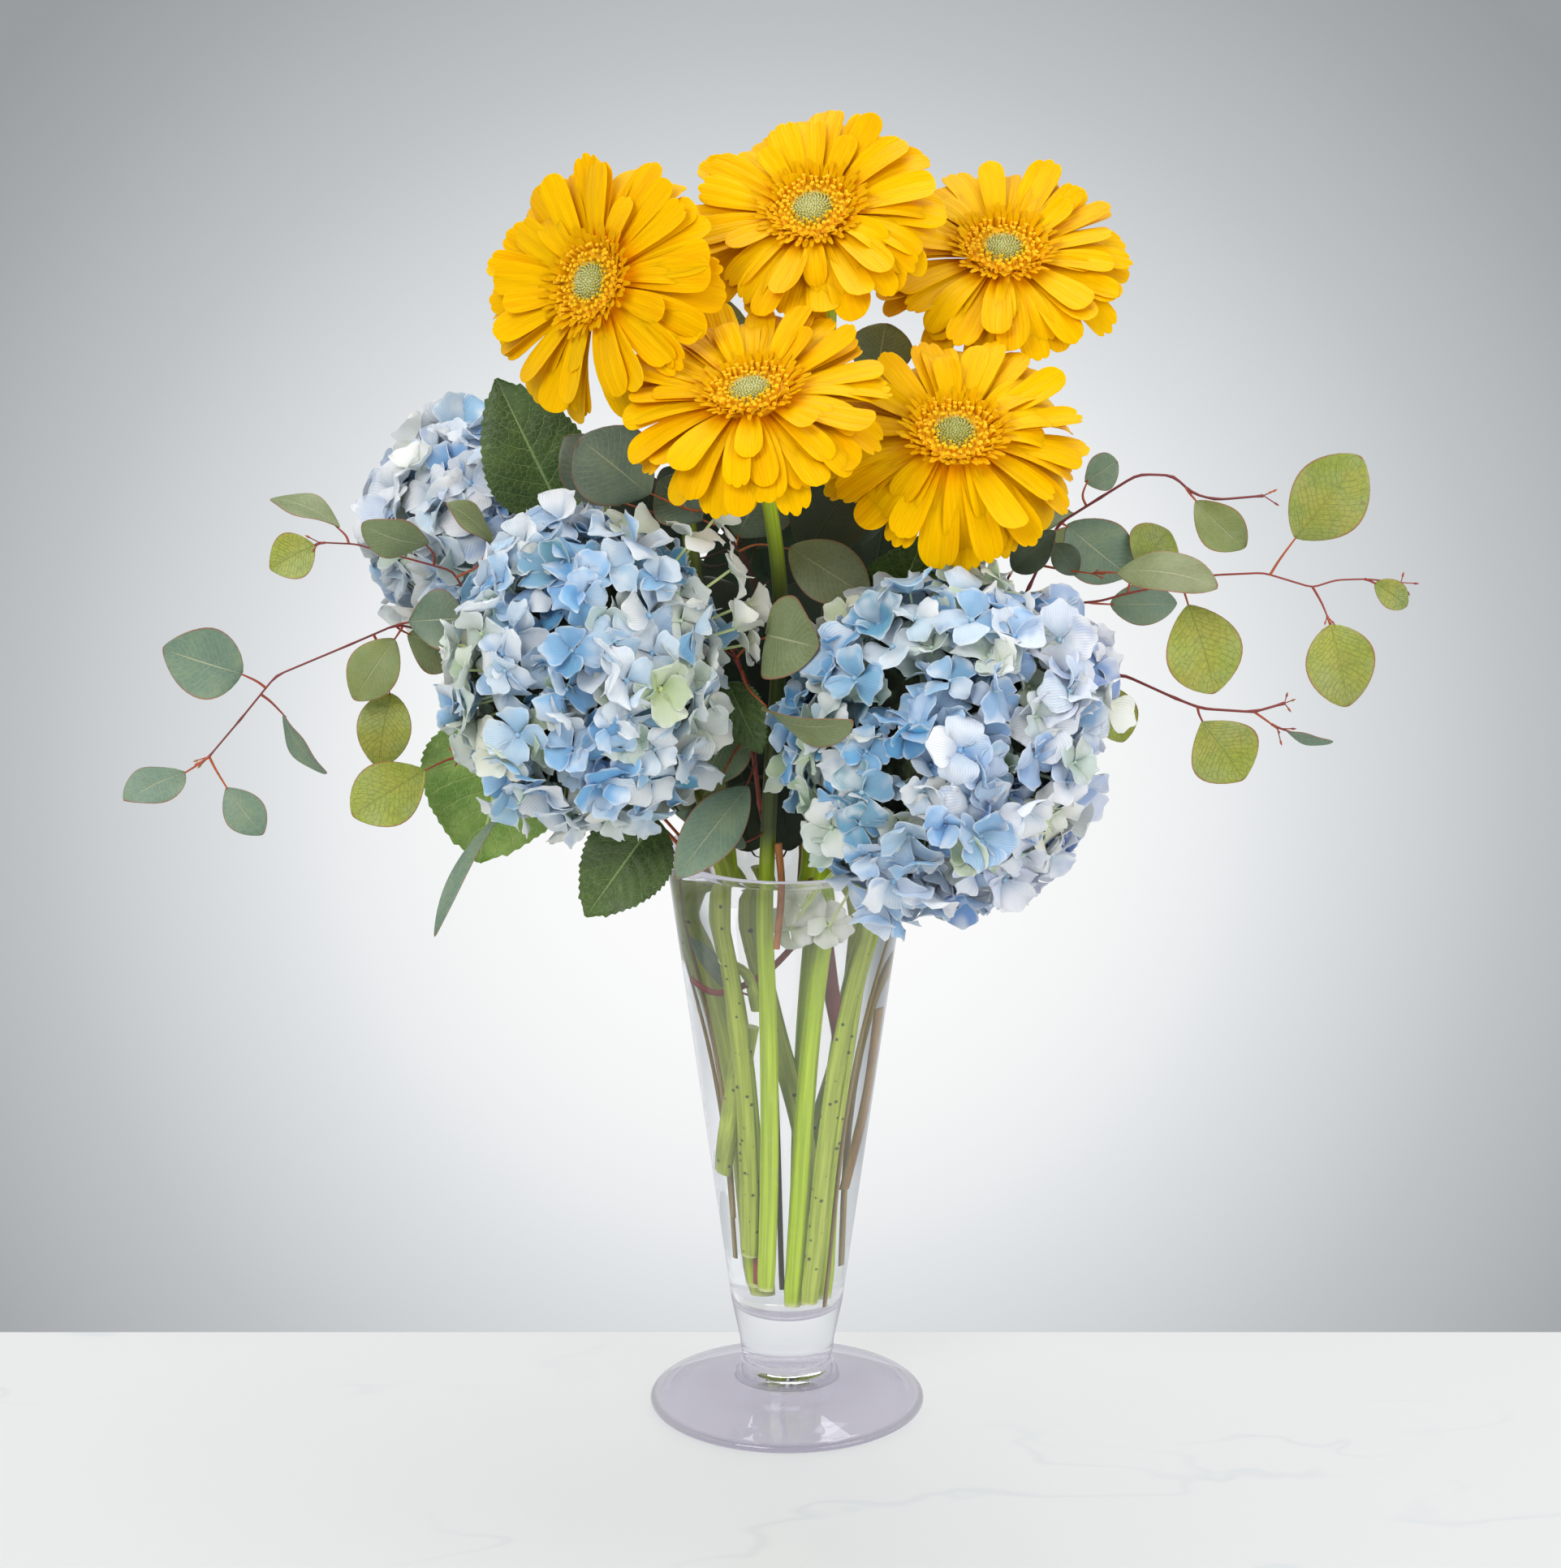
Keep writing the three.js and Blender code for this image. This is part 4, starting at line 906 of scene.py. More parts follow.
def grow_vase():
    edge = FOOT_RADIUS - 1.5
    rim_inner, lip_z = inner_radius(RIM_Z), RIM_Z - 1.5
    floor_edge = (inner_radius(FLOOR_EDGE_Z), FLOOR_EDGE_Z)
    profile = [
        np.array((AXIS_GAP, HOLLOW_TOP)),
        *quadratic((0, HOLLOW_TOP), (36, HOLLOW_TOP), (edge - FOOT_RING, 0), 20),
        np.array((edge, 0)),
        *quadratic((edge, 0), (FOOT_RADIUS + 1.5, FOOT_EDGE / 2), (edge, FOOT_EDGE), 8),
        *quadratic((edge, FOOT_EDGE), (42, 12), COLLAR, 20),
        *quadratic(COLLAR, NECK, STUB_EDGE, 10),
        *quadratic(STUB_EDGE, (21, 26), STUB, 6),
        np.array((BOWL_RADIUS, BOWL_Z)),
        *[np.array((BOWL_RADIUS + CONE_SLOPE * (z - BOWL_Z), z)) for z in np.linspace(60, lip_z, 12)],
        *quadratic((RIM_RADIUS, lip_z), (RIM_RADIUS - WALL / 2, RIM_Z + 1.5), (rim_inner, lip_z), 8),
        *[np.array((inner_radius(z), z)) for z in np.linspace(RIM_Z - 10, FLOOR_EDGE_Z, 12)],
        *quadratic(floor_edge, (FLOOR_BEND, FLOOR_Z), (AXIS_GAP, FLOOR_Z)),
    ]
    growth = Growth()
    growth.add_turned((0, 0, 0), (0, 0, 1), profile, VASE_SIDES)
    growth.piece("vase_of_glass", [VASE_GLASS], "vase", "glass")


def grow_water():
    """The water runs a hair into the glass, so that no film of air shows between them."""
    lap = 0.12
    edge, floor_radius = inner_radius(WATER_Z), inner_radius(FLOOR_EDGE_Z)
    profile = [
        np.array((AXIS_GAP, FLOOR_Z - lap)),
        *quadratic((0, FLOOR_Z - lap), (FLOOR_BEND, FLOOR_Z - lap), (floor_radius + lap, FLOOR_EDGE_Z)),
        *[np.array((inner_radius(z) + lap, z)) for z in np.linspace(FLOOR_EDGE_Z + 8, WATER_Z, 12)],
        *quadratic((edge + lap, WATER_Z + 1.6), (edge - 1.5, WATER_Z), (edge - 5, WATER_Z), 6),
        np.array((AXIS_GAP, WATER_Z)),
    ]
    growth = Growth()
    growth.add_turned((0, 0, 0), (0, 0, 1), profile, VASE_SIDES)
    growth.piece("vase_fill_of_water", [VASE_WATER], "water", "water")


# ---------------------------------------------------------------- stems and twigs


def inside_vase(mouth, z):
    """Where a stem that leaves the mouth at a place is at a height inside the vase."""
    share = (z - BOTTOM_Z) / (RIM_Z - BOTTOM_Z)
    drawn_in = (1 - share) * BOTTOM_SHARE
    cos = drawn_in * math.cos(BOTTOM_TURN) + share
    sin = drawn_in * math.sin(BOTTOM_TURN)
    x, y = mouth
    return (x * cos - y * sin, x * sin + y * cos, z)


def stem_route(spec, above=(), shaped=smooth_path, spacing=6):
    """The centre line of a stem, from its cut end in the water."""
    mouth = spec["mouth"]
    upper = [inside_vase(mouth, BEND_Z), (*mouth, RIM_Z), *spec["stem"], *above]
    lower = np.linspace(inside_vase(mouth, spec["end"]), upper[0], 24, endpoint=False)
    share = (lower[:, 2] - BOTTOM_Z) / (BEND_Z - BOTTOM_Z)
    lower[:, :2] *= (1 - STEM_BOW * 4 * share * (1 - share))[:, None]
    return np.concatenate([lower, shaped(upper, spacing)])


def nearest_on(routes, place):
    """The point of the routes nearest to a place."""
    points = np.concatenate(routes)
    return points[np.argmin(np.linalg.norm(points - np.asarray(place, float), axis=1))]


def add_stem(growth, owner, route, radii, sides, finish=0, **values):
    """Adds a tube that leaves and petals keep clear of."""
    growth.add_tube(route, radii, sides, finish, **values)
    clearing.place(owner, *tube(route, radii, sides))


# ---------------------------------------------------------------- leaves


def leaf_frame(base, tip, roll, faces=FRONT):
    """Direction, face normal and right-hand side of a leaf."""
    along = unit(np.subtract(tip, base))
    normal = unit(faces - along * (faces @ along))
    normal = turned(normal, along, math.radians(roll))
    return along, normal, np.cross(along, normal)


MARGIN_SPREAD = np.array((-1, -0.94, -0.8, -0.55, -0.28, 0, 0.28, 0.55, 0.8, 0.94, 1))


def eucalyptus_blade(base, tip, width, roll, draw, tone, faces=FRONT):
    """A round leaf on a pointed base, a little cupped and waved, with its values."""
    along, normal, side = leaf_frame(base, tip, roll, faces)
    length = np.linalg.norm(np.subtract(tip, base))
    share = np.concatenate([[0.0, 0.03], np.linspace(0.09, 0.9, 12), [0.96, 0.985, 1.0]])
    belly = draw.uniform(0.84, 1.2)
    outline = np.abs(np.sin(math.pi * share**belly)) ** draw.uniform(0.58, 0.72)
    half = width / 2 * np.maximum(outline, 0.03)
    s, u = np.meshgrid(share, MARGIN_SPREAD, indexing="ij")
    across = half[:, None] * u
    bow = 0.32 * length * s * (1 - s)
    cup = draw.uniform(-0.05, 0.16) * half[:, None] * u**2
    fold = 0.1 * half[:, None] * np.abs(u)
    wave = 0.035 * width * np.sin(s * 9 + draw.random() * 6 + 1.5 * np.sign(u)) * np.abs(u) ** 3
    twist = math.radians(draw.uniform(-9, 9)) * s * across
    bend = draw.uniform(-0.05, 0.05) * length * s**2
    height = bow + cup + fold * 0.6 + wave + twist
    grid = laid(base, (length * s, along), (across + bend, side), (height, normal))
    values = {
        "along": s, "across": u, "tone": tone, "tint": max(0.0, draw.uniform(-1.0, 0.8)),
        "reach": np.maximum(np.abs(u) ** 9, np.clip((s - 0.94) * 16, 0, 1)),
    }
    return grid, values


def hydrangea_blade(base, tip, width, roll, draw, bright):
    """A pointed oval leaf with toothed edges and its skin raised between the veins."""
    along, normal, side = leaf_frame(base, tip, roll)
    length = np.linalg.norm(np.subtract(tip, base))
    share = np.linspace(0.0, 1.0, 4 * TEETH + 1)
    outline = np.maximum(np.sin(math.pi * share**0.72), 0.0) ** 0.8
    tooth = (share * TEETH) % 1.0
    half = width / 2 * np.maximum(outline, 0.04) + 1.3 * tooth * np.minimum(1, outline * 3)
    s, u = np.meshgrid(share, np.linspace(-1, 1, 19), indexing="ij")
    across = half[:, None] * u
    out = np.abs(u)
    run = (s - 0.2 * out - 0.06 * out**2) * VEIN_PAIRS
    quilt = 0.9 * np.abs(np.sin(math.pi * run)) ** 0.6 * np.minimum(1, out * 4) * (1 - out**4)
    bow = 0.34 * length * s * (1 - s)
    cup = 0.16 * half[:, None] * out**1.5
    wave = 0.05 * width * np.sin(s * 7 + draw.random() * 6 + np.sign(u)) * out**3
    height = bow + cup + quilt * np.minimum(1, outline)[:, None] + wave
    forward = length * (s + 0.02 * out * (s < 0.9))
    grid = laid(base, (forward, along), (across, side), (height, normal))
    return grid, {"along": s, "across": u, "tone": draw.random(), "tint": bright}


# Degrees that a leaf may turn in its own plane and out of it, in the order in which they are tried
LEAF_TURNS = [
    (0, 0), (5, 0), (-5, 0), (0, 6), (0, -6), (10, 6), (-10, 6), (10, -8), (-10, -8), (0, 14), (0, -14),
    (18, 0), (-18, 0), (14, 14), (-14, -14), (24, 8), (-24, 8),
]


def place_leaf(growth, owner, attach, spec, blade, thickness, faces=FRONT):
    """Adds a leaf blade, turned a little about where it grows from if it would touch a neighbour.

    Gives the base and the direction that it got, or None.
    """
    base, tip, width, roll = spec[:4]
    _, normal, side = leaf_frame(base, tip, roll, faces)

    def moved(point, turn):
        arm = np.subtract(point, attach)
        arm = turned(arm, normal, math.radians(turn[0]))
        return attach + turned(arm, side, math.radians(turn[1]))

    def make(turn):
        return blade(moved(base, turn), moved(tip, turn), width, roll)

    turn = place_clear(growth, owner, LEAF_TURNS, make, thickness)
    if turn is None:
        return None
    return moved(base, turn), unit(moved(tip, turn) - moved(base, turn))


def add_petiole(growth, attach, base, direction, radius, finish, **values):
    """A short bent stalk from where a leaf is attached into the foot of its blade."""
    attach, base = np.asarray(attach, float), np.asarray(base, float)
    middle = (attach + base) / 2 - np.asarray(direction) * 0.12 * np.linalg.norm(base - attach)
    path = smooth_path([attach, middle, base + np.asarray(direction) * 2.2], 1.6)
    growth.add_tube(path, np.linspace(radius * 1.25, radius * 0.7, len(path)), 8, finish, **values)


# ---------------------------------------------------------------- gerberas

RAY_SHARES = np.array((0, 0.08, 0.18, 0.3, 0.42, 0.54, 0.65, 0.75, 0.83, 0.89, 0.94, 0.975, 1.0))
RAY_SPREAD = np.array((-1, -0.9, -0.72, -0.55, -0.38, -0.2, 0, 0.2, 0.38, 0.55, 0.72, 0.9, 1))
RAY_NOTCH = np.array((0, 0, 0, 0.2, 1.0, 0.2, 0, 0.2, 1.0, 0.2, 0, 0, 0))


def gerbera_frame(spec):
    """The axis of a face, the rearmost direction across it and the one beside it."""
    yaw, pitch = math.radians(spec["turn"]), math.radians(spec["lift"])
    level = math.cos(pitch)
    axis = np.array((math.sin(yaw) * level, -math.cos(yaw) * level, math.sin(pitch)))
    rear = unit(axis * (FRONT @ axis) - FRONT)
    return axis, rear, np.cross(axis, rear)


def ray_grid(spec, frame_of, ray, rise):
    """A ray: two grooves along it, a notched tip, and a bend down along its length by RAY_CURL."""
    axis, rear, beside = frame_of
    out = spoke(rear, beside, ray["angle"])
    across = np.cross(axis, out)
    swing = (spec["rear_rise"] + spec["front_droop"]) / 2 * math.cos(ray["angle"])
    lifted = rise + RAY_CURL + (spec["rear_rise"] - spec["front_droop"]) / 2 + swing
    s, u = np.meshgrid(RAY_SHARES, RAY_SPREAD, indexing="ij")
    length = ray["reach"] - RAY_ROOT
    notch = ray["notch"] * RAY_NOTCH * s**16
    e = s - ray["round"] * (1 - np.sqrt(1 - (0.98 * u) ** 2)) * s**6 - notch
    half = ray["width"] / 2 * np.interp(s, (0, 0.25, 0.5, 0.75, 0.9, 1), (0.28, 0.62, 0.88, 1, 0.99, 0.94))
    slope = np.radians(lifted - RAY_CURL * e + ray["tip_curl"] * e**3)
    roll = ray["roll"] * s
    groove = -0.5 * np.exp(-(((np.abs(u) - 0.38) / 0.13) ** 2)) * np.minimum(1, s * 4) * (1 - 0.3 * s)
    cup = ray["cup"] * half * u**2 + groove + np.sin(roll) * half * u
    sway = ray["sway"] * length * e**2
    place = length * e
    grid = laid(
        spec["centre"],
        (RAY_ROOT + place * np.cos(slope) + cup * -np.sin(slope), out),
        (ray["height"] + place * np.sin(slope) + cup * np.cos(slope), axis),
        (half * u * np.cos(roll) + sway, across),
    )
    return grid, {"along": s, "across": u, "tone": ray["tone"], "tint": ray["tint"]}


# Degrees by which a ray may rise more or less, in the order in which they are tried
RAY_RISES = (0, -5, 5, -10, 10, -16, 16, 24, -24, 32)

# Rays in a layer: their number, reach, width, height of the root and rise in degrees
RAY_LAYERS = (
    (20, 58.5, 15.4, -2.8, -2),
    (19, 57.5, 15.0, -1.8, 2),
    (13, 53.0, 14.0, -0.8, 6),
    (5, 42.0, 11.5, 0.4, 11),
)


def grow_bloom(index, spec):
    owner = f"bloom_{index}"
    frame_of = gerbera_frame(spec)
    centre = np.asarray(spec["centre"], float)
    draw = random.Random(40 + index)
    growth = Growth()
    disc = [
        (AXIS_GAP, -6), (10, -6), (15.5, -1.5), (17.2, 1.6), (13, 2.2), (9, 2.0), (8.6, 1.2), (AXIS_GAP, 1.2),
    ]
    growth.add_turned(centre, frame_of[0], disc, 40, 1, reach=0.8, along=0.3)
    for number, reach, width, height, lift in RAY_LAYERS:
        phase = draw.random()
        for i in range(number):
            ray = {
                "angle": 2 * math.pi * (i + phase + draw.uniform(-0.28, 0.28)) / number,
                "reach": reach * draw.uniform(0.92, 1.03), "width": width * draw.uniform(0.82, 1.12),
                "height": height + draw.uniform(-0.3, 0.5), "round": draw.uniform(0.1, 0.17),
                "notch": max(0.0, draw.uniform(-0.03, 0.05)), "cup": draw.uniform(-0.12, 0.26),
                "roll": math.radians(draw.uniform(-16, 16)), "sway": draw.uniform(-0.06, 0.06),
                "tip_curl": draw.uniform(-14, 8), "tone": draw.random(), "tint": draw.random(),
            }
            rise = lift + draw.uniform(-4, 4)
            variants = [rise + change for change in RAY_RISES]
            make = functools.partial(ray_grid, spec, frame_of, ray)
            place_clear(growth, owner, variants, make, RAY_THICKNESS)
    add_straps(growth, centre, frame_of, draw)
    add_disc_florets(growth, centre, frame_of, draw)
    growth.piece(f"gerbera_rays_{index}", [RAY_YELLOW, DISC_GOLD], f"gerbera_bloom_{index}", "gerbera_petal")


# Shares along and across a narrow ray or leaf
NARROW = np.meshgrid(np.linspace(0, 1, 5), np.linspace(-1, 1, 3), indexing="ij")

# Narrow rays in a ring: their number, root and reach
STRAP_RINGS = ((48, 15.5, 26.5), (42, 14.5, 23.0))


def add_straps(growth, centre, frame_of, draw):
    """Short narrow rays that stand round the disc."""
    axis, rear, beside = frame_of
    s, u = NARROW
    for ring, (number, root, reach) in enumerate(STRAP_RINGS):
        for i in range(number):
            out = spoke(rear, beside, 2 * math.pi * (i + draw.uniform(-0.4, 0.4)) / number)
            length = (reach - root) * draw.uniform(0.8, 1.15)
            slope = math.radians(draw.uniform(26, 44) + 14 * ring)
            half = 1.35 * draw.uniform(0.8, 1.25) * np.interp(s, (0, 0.6, 1), (0.5, 1, 0.5))
            path = length * s
            sag = -0.16 * length * s**2
            height = 1.8 + path * math.sin(slope) + sag + 0.3 * u**2
            grid = laid(
                centre, (root + path * math.cos(slope), out), (height, axis), (half * u, np.cross(axis, out))
            )
            tone = draw.random() * 0.6
            growth.add_sheet(grid, STRAP_THICKNESS, along=0.12 + 0.3 * s, across=u, tone=tone)


# Disc florets in a ring: radius, number, thickness, height and lean outward in degrees
DISC_RINGS = (
    (9.2, 26, 0.6, 3.6, -20),
    (10.7, 29, 0.72, 4.0, -6),
    (12.3, 32, 0.8, 4.4, 10),
    (14.3, 36, 0.85, 4.8, 24),
    (16.3, 40, 0.85, 4.8, 40),
)


def add_disc_florets(growth, centre, frame_of, draw):
    """Small open florets and buds in rings between the eye and the rays."""
    axis, rear, beside = frame_of
    for radius, number, thick, tall, lean in DISC_RINGS:
        for i in range(number):
            out = spoke(rear, beside, 2 * math.pi * (i + draw.uniform(-0.35, 0.35)) / number)
            toward = spoke(axis, out, math.radians(lean + draw.uniform(-12, 12)))
            base = centre + out * (radius + draw.uniform(-0.6, 0.6)) + axis * 1.4
            height = tall * draw.uniform(0.75, 1.2)
            profile = [(0.3 * thick, 0), (0.55 * thick, height * 0.45), (0.95 * thick, height * 0.78),
                       (1.1 * thick, height), (0.7 * thick, height * 0.97), (0.1, height * 0.8)]
            growth.add_turned(base, toward, profile, 7, 1, reach=(radius - 8) / 8.5, tone=draw.random())


def grow_eye(index, spec):
    """The middle of the disc: small closed buds in a spiral, with a pale bristle on every second one."""
    axis, rear, beside = gerbera_frame(spec)
    centre = np.asarray(spec["centre"], float)
    draw = random.Random(60 + index)
    growth = Growth()
    cushion = [(AXIS_GAP, 1.5), (EYE_RADIUS, 1.6), (EYE_RADIUS - 0.6, 3.0), (4.6, 4.4), (AXIS_GAP, 4.8)]
    young = spec["young"]
    growth.add_turned(centre, axis, cushion, 32, reach=0.7, along=0.1, tint=young)
    for i in range(EYE_BUDS):
        share = (i + 0.5) / EYE_BUDS
        radius = 0.93 * EYE_RADIUS * math.sqrt(share)
        out = spoke(rear, beside, spiral(i))
        toward = unit(axis + out * 0.5 * share + rear * draw.uniform(-0.2, 0.2))
        base = centre + out * radius + axis * (4.3 - 1.6 * share**2)
        tall = draw.uniform(0.9, 1.5) + 0.5 * share
        profile = [(0.34, 0), (0.46, tall * 0.5), (0.3, tall * 0.9), (0.05, tall)]
        growth.add_turned(base, toward, profile, 5, reach=share, tone=draw.random(), tint=young)
        if i % 2:
            tip = base + toward * (tall + draw.uniform(0.5, 1.1)) + rear * draw.uniform(-0.4, 0.4)
            bristle = np.linspace(base, tip, 3)
            growth.add_tube(bristle, (0.14, 0.11, 0.05), 4, reach=share, tone=1.0, tint=young)
    growth.piece(f"gerbera_heart_{index}", [EYE_GREEN], f"gerbera_eye_{index}", "gerbera_eye")


# Cut ends and side twigs, most of them in the water: points, radius at both ends and tone of the bark
CUTTINGS = {
    "hydrangea_stem_left": [
        ([(-14, -10, 188), (-19, -7, 150), (-24, -4, 114)], 4.3, 4.0, 0),
        ([(-26, -27, 222), (-15, -17, 214), (-11, -12, 196)], 2.4, 2.0, 0),
    ],
    "hydrangea_stem_right": [
        ([(-13, 8, 240), (-4, 4, 185), (6, -2, 128), (7, -3, 96)], 3.5, 3.5, 0),
        ([(33, -22, 238), (24, -16, 170), (15, -13, 96)], 1.5, 1.1, 0),
    ],
    "hydrangea_stem_back": [([(22, 16, 244), (17, 14, 180), (6, 12, 118), (3, 14, 84)], 3.0, 2.8, 0)],
    "eucalyptus_front": [
        ([(12, -4, 232), (14, 1, 205), (17, 2, 176), (16, 3, 150)], 3.0, 2.1, 0.05),
        ([(-40, -14, 208), (-25, -12, 203), (-8, -6, 212), (4, -4, 228)], 1.7, 1.2, 0.2),
        ([(-12, -10, 116), (-11, -9, 88), (-11, -8, 62)], 1.7, 1.6, 0.3),
        ([(-4, -42, 278), (-2.5, -43, 258), (-4.5, -41, 231)], 1.7, 1.4, 0.8),
    ],
    "eucalyptus_right": [([(30, 6, 190), (25, 8, 150), (17, 8, 104)], 2.2, 1.5, 0.9)],
}


def add_cuttings(growth, owner):
    """The cut ends and side twigs that go with a stem."""
    for points, start, end, tone in CUTTINGS.get(owner, ()):
        path = smooth_path(points, 4)
        growth.add_tube(path, np.linspace(start, end, len(path)), 12, 1, tone=tone)


# Small green leaves under a head: each ring's height from the head's centre, and its radius
BRACT_RINGS = ((-18.2, 4.2), (-16, 6.0), (-13.4, 7.4))
BRACTS = 16


def grow_gerbera_stem(index, spec):
    owner = f"gerbera_stem_{index}"
    axis, rear, beside = gerbera_frame(spec)
    centre = np.asarray(spec["centre"], float)
    route = stem_route(spec, [centre - axis * 45, centre - axis * 13])
    growth = Growth()
    radii = GERBERA_STEM_RADIUS * (1.06 - 0.12 * np.linspace(0, 1, len(route)))
    radii[0] *= 0.86
    add_stem(growth, owner, route, radii, 16)
    calyx = [(0.5, -19), (3.5, -18.6), (6.4, -14.5), (7.9, -11.5), (9.2, -8), (9.4, -6.4), (0.5, -6.4)]
    growth.add_turned(centre, axis, calyx, 28, along=0.5)
    draw = random.Random(80 + index)
    s, u = NARROW
    half = 1.25 * np.interp(s, (0, 0.5, 1), (0.8, 1, 0.15))
    for ring, (low, radius) in enumerate(BRACT_RINGS):
        for i in range(BRACTS):
            out = spoke(rear, beside, 2 * math.pi * (i + 0.5 * ring + draw.uniform(-0.2, 0.2)) / BRACTS)
            away = radius + 0.2 + (3.0 - 0.6 * ring) * s - 0.3 * u**2
            grid = laid(centre, (away, out), (low + 7.2 * s, axis), (half * u, np.cross(axis, out)))
            growth.add_sheet(grid, STRAP_THICKNESS, along=0.5, across=draw.random())
    growth.piece(f"gerbera_stalk_{index}", [GERBERA_STALK], owner, "gerbera_stem")


# ---------------------------------------------------------------- hydrangeas


def petal_places(rows, columns):
    shares = np.linspace(0, 1, rows) ** 0.92
    return np.meshgrid(shares, np.linspace(-1, 1, columns), indexing="ij")


PETAL_OUTER = petal_places(7, 6)
PETAL_INNER = petal_places(5, 4)


def petal_grid(heart, frame_of, angle, size, shape):
    """A broad petal on a narrow claw, cupped and waved, that leaves its floret's heart at an angle."""
    outward, side, other = frame_of
    s, u = shape["s"], shape["u"]
    radial = spoke(side, other, angle)
    length, width = PETAL_LENGTH * size * shape["stretch"], PETAL_WIDTH * size * shape["widen"]
    steps = (0, 0.12, 0.35, 0.6, 0.8, 0.93, 1)
    blunt = np.interp(s, steps, (0.1, 0.3, 0.8, 1, 0.98, 0.82, 0.55))
    sharp = np.interp(s, steps, (0.1, 0.34, 0.88, 1, 0.8, 0.5, 0.14))
    half = width / 2 * (blunt + (sharp - blunt) * shape["point"])
    e = s * (1 - 0.13 * s**3 * u**2 - shape["notch"] * s**6 * (1 - np.minimum(1, (u * 2.2) ** 2)))
    lift = np.radians(shape["lift"] + shape["curl"] * e)
    arch = shape["arch"] * length * s * (1 - s) * 4
    cup = shape["cup"] * half * u**2
    wave = 0.09 * width * np.sin(s * 6 + shape["phase"] + 2 * u) * np.abs(u) ** 2
    roll = math.radians(shape["roll"])
    height = arch + cup + wave + np.sin(roll) * half * u
    along = length * e
    return laid(
        heart,
        (0.9 + along * np.cos(lift) - height * np.sin(lift), radial),
        (along * np.sin(lift) + height * np.cos(lift), outward),
        (half * u * np.cos(roll), np.cross(outward, radial)),
    )


def floret_petals(heart, outward, spin, size, openness, places, draw):
    """The four petals of a floret, as grids."""
    side = unit(np.cross(outward, (0.2, 0.3, 0.93)))
    frame_of = (outward, side, np.cross(outward, side))
    grids = []
    for petal in range(4):
        shape = {
            "s": places[0], "u": places[1], "stretch": draw.uniform(0.86, 1.06),
            "widen": draw.uniform(0.98, 1.28), "lift": openness + draw.uniform(-14, 16) + 8 * (petal % 2),
            "arch": draw.uniform(-0.04, 0.14), "cup": draw.uniform(-0.2, 0.5), "phase": draw.uniform(0, 6),
            "roll": draw.uniform(0, 18), "notch": draw.uniform(-0.12, 0.04),
            "point": max(0.0, draw.uniform(-0.8, 0.9)), "curl": draw.uniform(-46, 28),
        }
        grids.append(petal_grid(heart, frame_of, spin + petal * math.pi / 2, size, shape))
    return grids


# Radius and height of the bead in a floret's middle
BEAD = [(0.1, -0.6), (0.9, -0.3), (1.35, 0.5), (1.1, 1.4), (0.1, 1.9)]


def add_floret(growth, owner, place, outward, spin, size, openness, colours, places, draw, root):
    """Adds a floret if its petals are clear of the other pieces."""
    tone, tint, lilac = colours
    grids = floret_petals(place, outward, spin, size, openness, places, draw)
    if not all(clearing.is_clear(owner, *sheet(grid, PETAL_THICKNESS)) for grid in grids):
        return False
    for grid in grids:
        shade = within(tone + draw.uniform(-0.26, 0.26))
        values = {"along": places[0], "across": places[1], "tone": shade, "tint": tint, "reach": lilac}
        growth.add_sheet(grid, PETAL_THICKNESS, **values)
    bead = [(radius * size, height * size) for radius, height in BEAD]
    growth.add_turned(place, outward, bead, 8, 1, tone=draw.random(), tint=tint)
    path = smooth_path([root, (root + place) / 2 + draw.uniform(-1, 1), place - outward * 0.4], 7)
    growth.add_tube(path, 0.62, 5, 1, tone=0.2, tint=0.6 + 0.4 * tint)
    return True


def head_colours(name, outward, sunk, draw):
    """Depth of colour, cream share and lilac share of a floret, by where it is on its head."""
    x, _, z = outward
    # Sunk florets get deeper colour and more cream green: painted shade in the head's hollows
    tone = draw.gauss(0.36, 0.26) + 0.4 * sunk
    lilac = 0.12 * draw.random()
    edge = 0.0
    if name == "left":
        edge = 1.8 * max(0.0, x - 0.4) + 1.6 * max(0.0, -x - 0.55) + 1.5 * max(0.0, -z - 0.5)
        tone += 0.14 * (0.3 - abs(x)) - 0.06
    elif name == "right":
        lilac = within(0.35 + 0.85 * x - 0.3 * z) * draw.uniform(0.5, 1.1)
        edge = 2.6 * max(0.0, -x - 0.5) * max(0.0, z) + 1.2 * max(0.0, z - 0.7)
        tone += 0.2 * max(0.0, -x) - 0.04
    else:
        lilac = draw.uniform(0.05, 0.5)
        edge = 1.2 * max(0.0, -z - 0.2)
        tone -= 0.18
    pale = draw.random() < 0.12 + 0.7 * edge + 0.4 * sunk
    cream = draw.uniform(0.6, 1.0) if pale else 0.25 * draw.random() ** 2
    return within(tone), cream, within(lilac)


# Where a head's face falls back from a full ball: direction, spread in radians and share
HOLLOWS = {
    "left": [((0.75, -0.5, 0.35), 0.25, 0.12)],
    "right": [
        ((-0.27, -0.75, 0.6), 0.24, 0.26), ((0.9, -0.1, -0.42), 0.5, 0.2), ((-1, -0.2, 0), 0.55, 0.09),
        ((0.1, -0.3, -0.95), 0.4, 0.07), ((0.78, -0.2, 0.5), 0.4, -0.07), ((0.99, -0.1, 0.03), 0.34, 0.14),
        ((0.97, 0.24, -0.02), 0.28, 0.12),
    ],
    "back": [],
}

# Size of a head's florets, and how full the head is
FLORET_SIZES = {"left": 0.9, "right": 0.92, "back": 1.0}
HEAD_SHARES = {"left": 0.93, "right": 0.99, "back": 1.0}

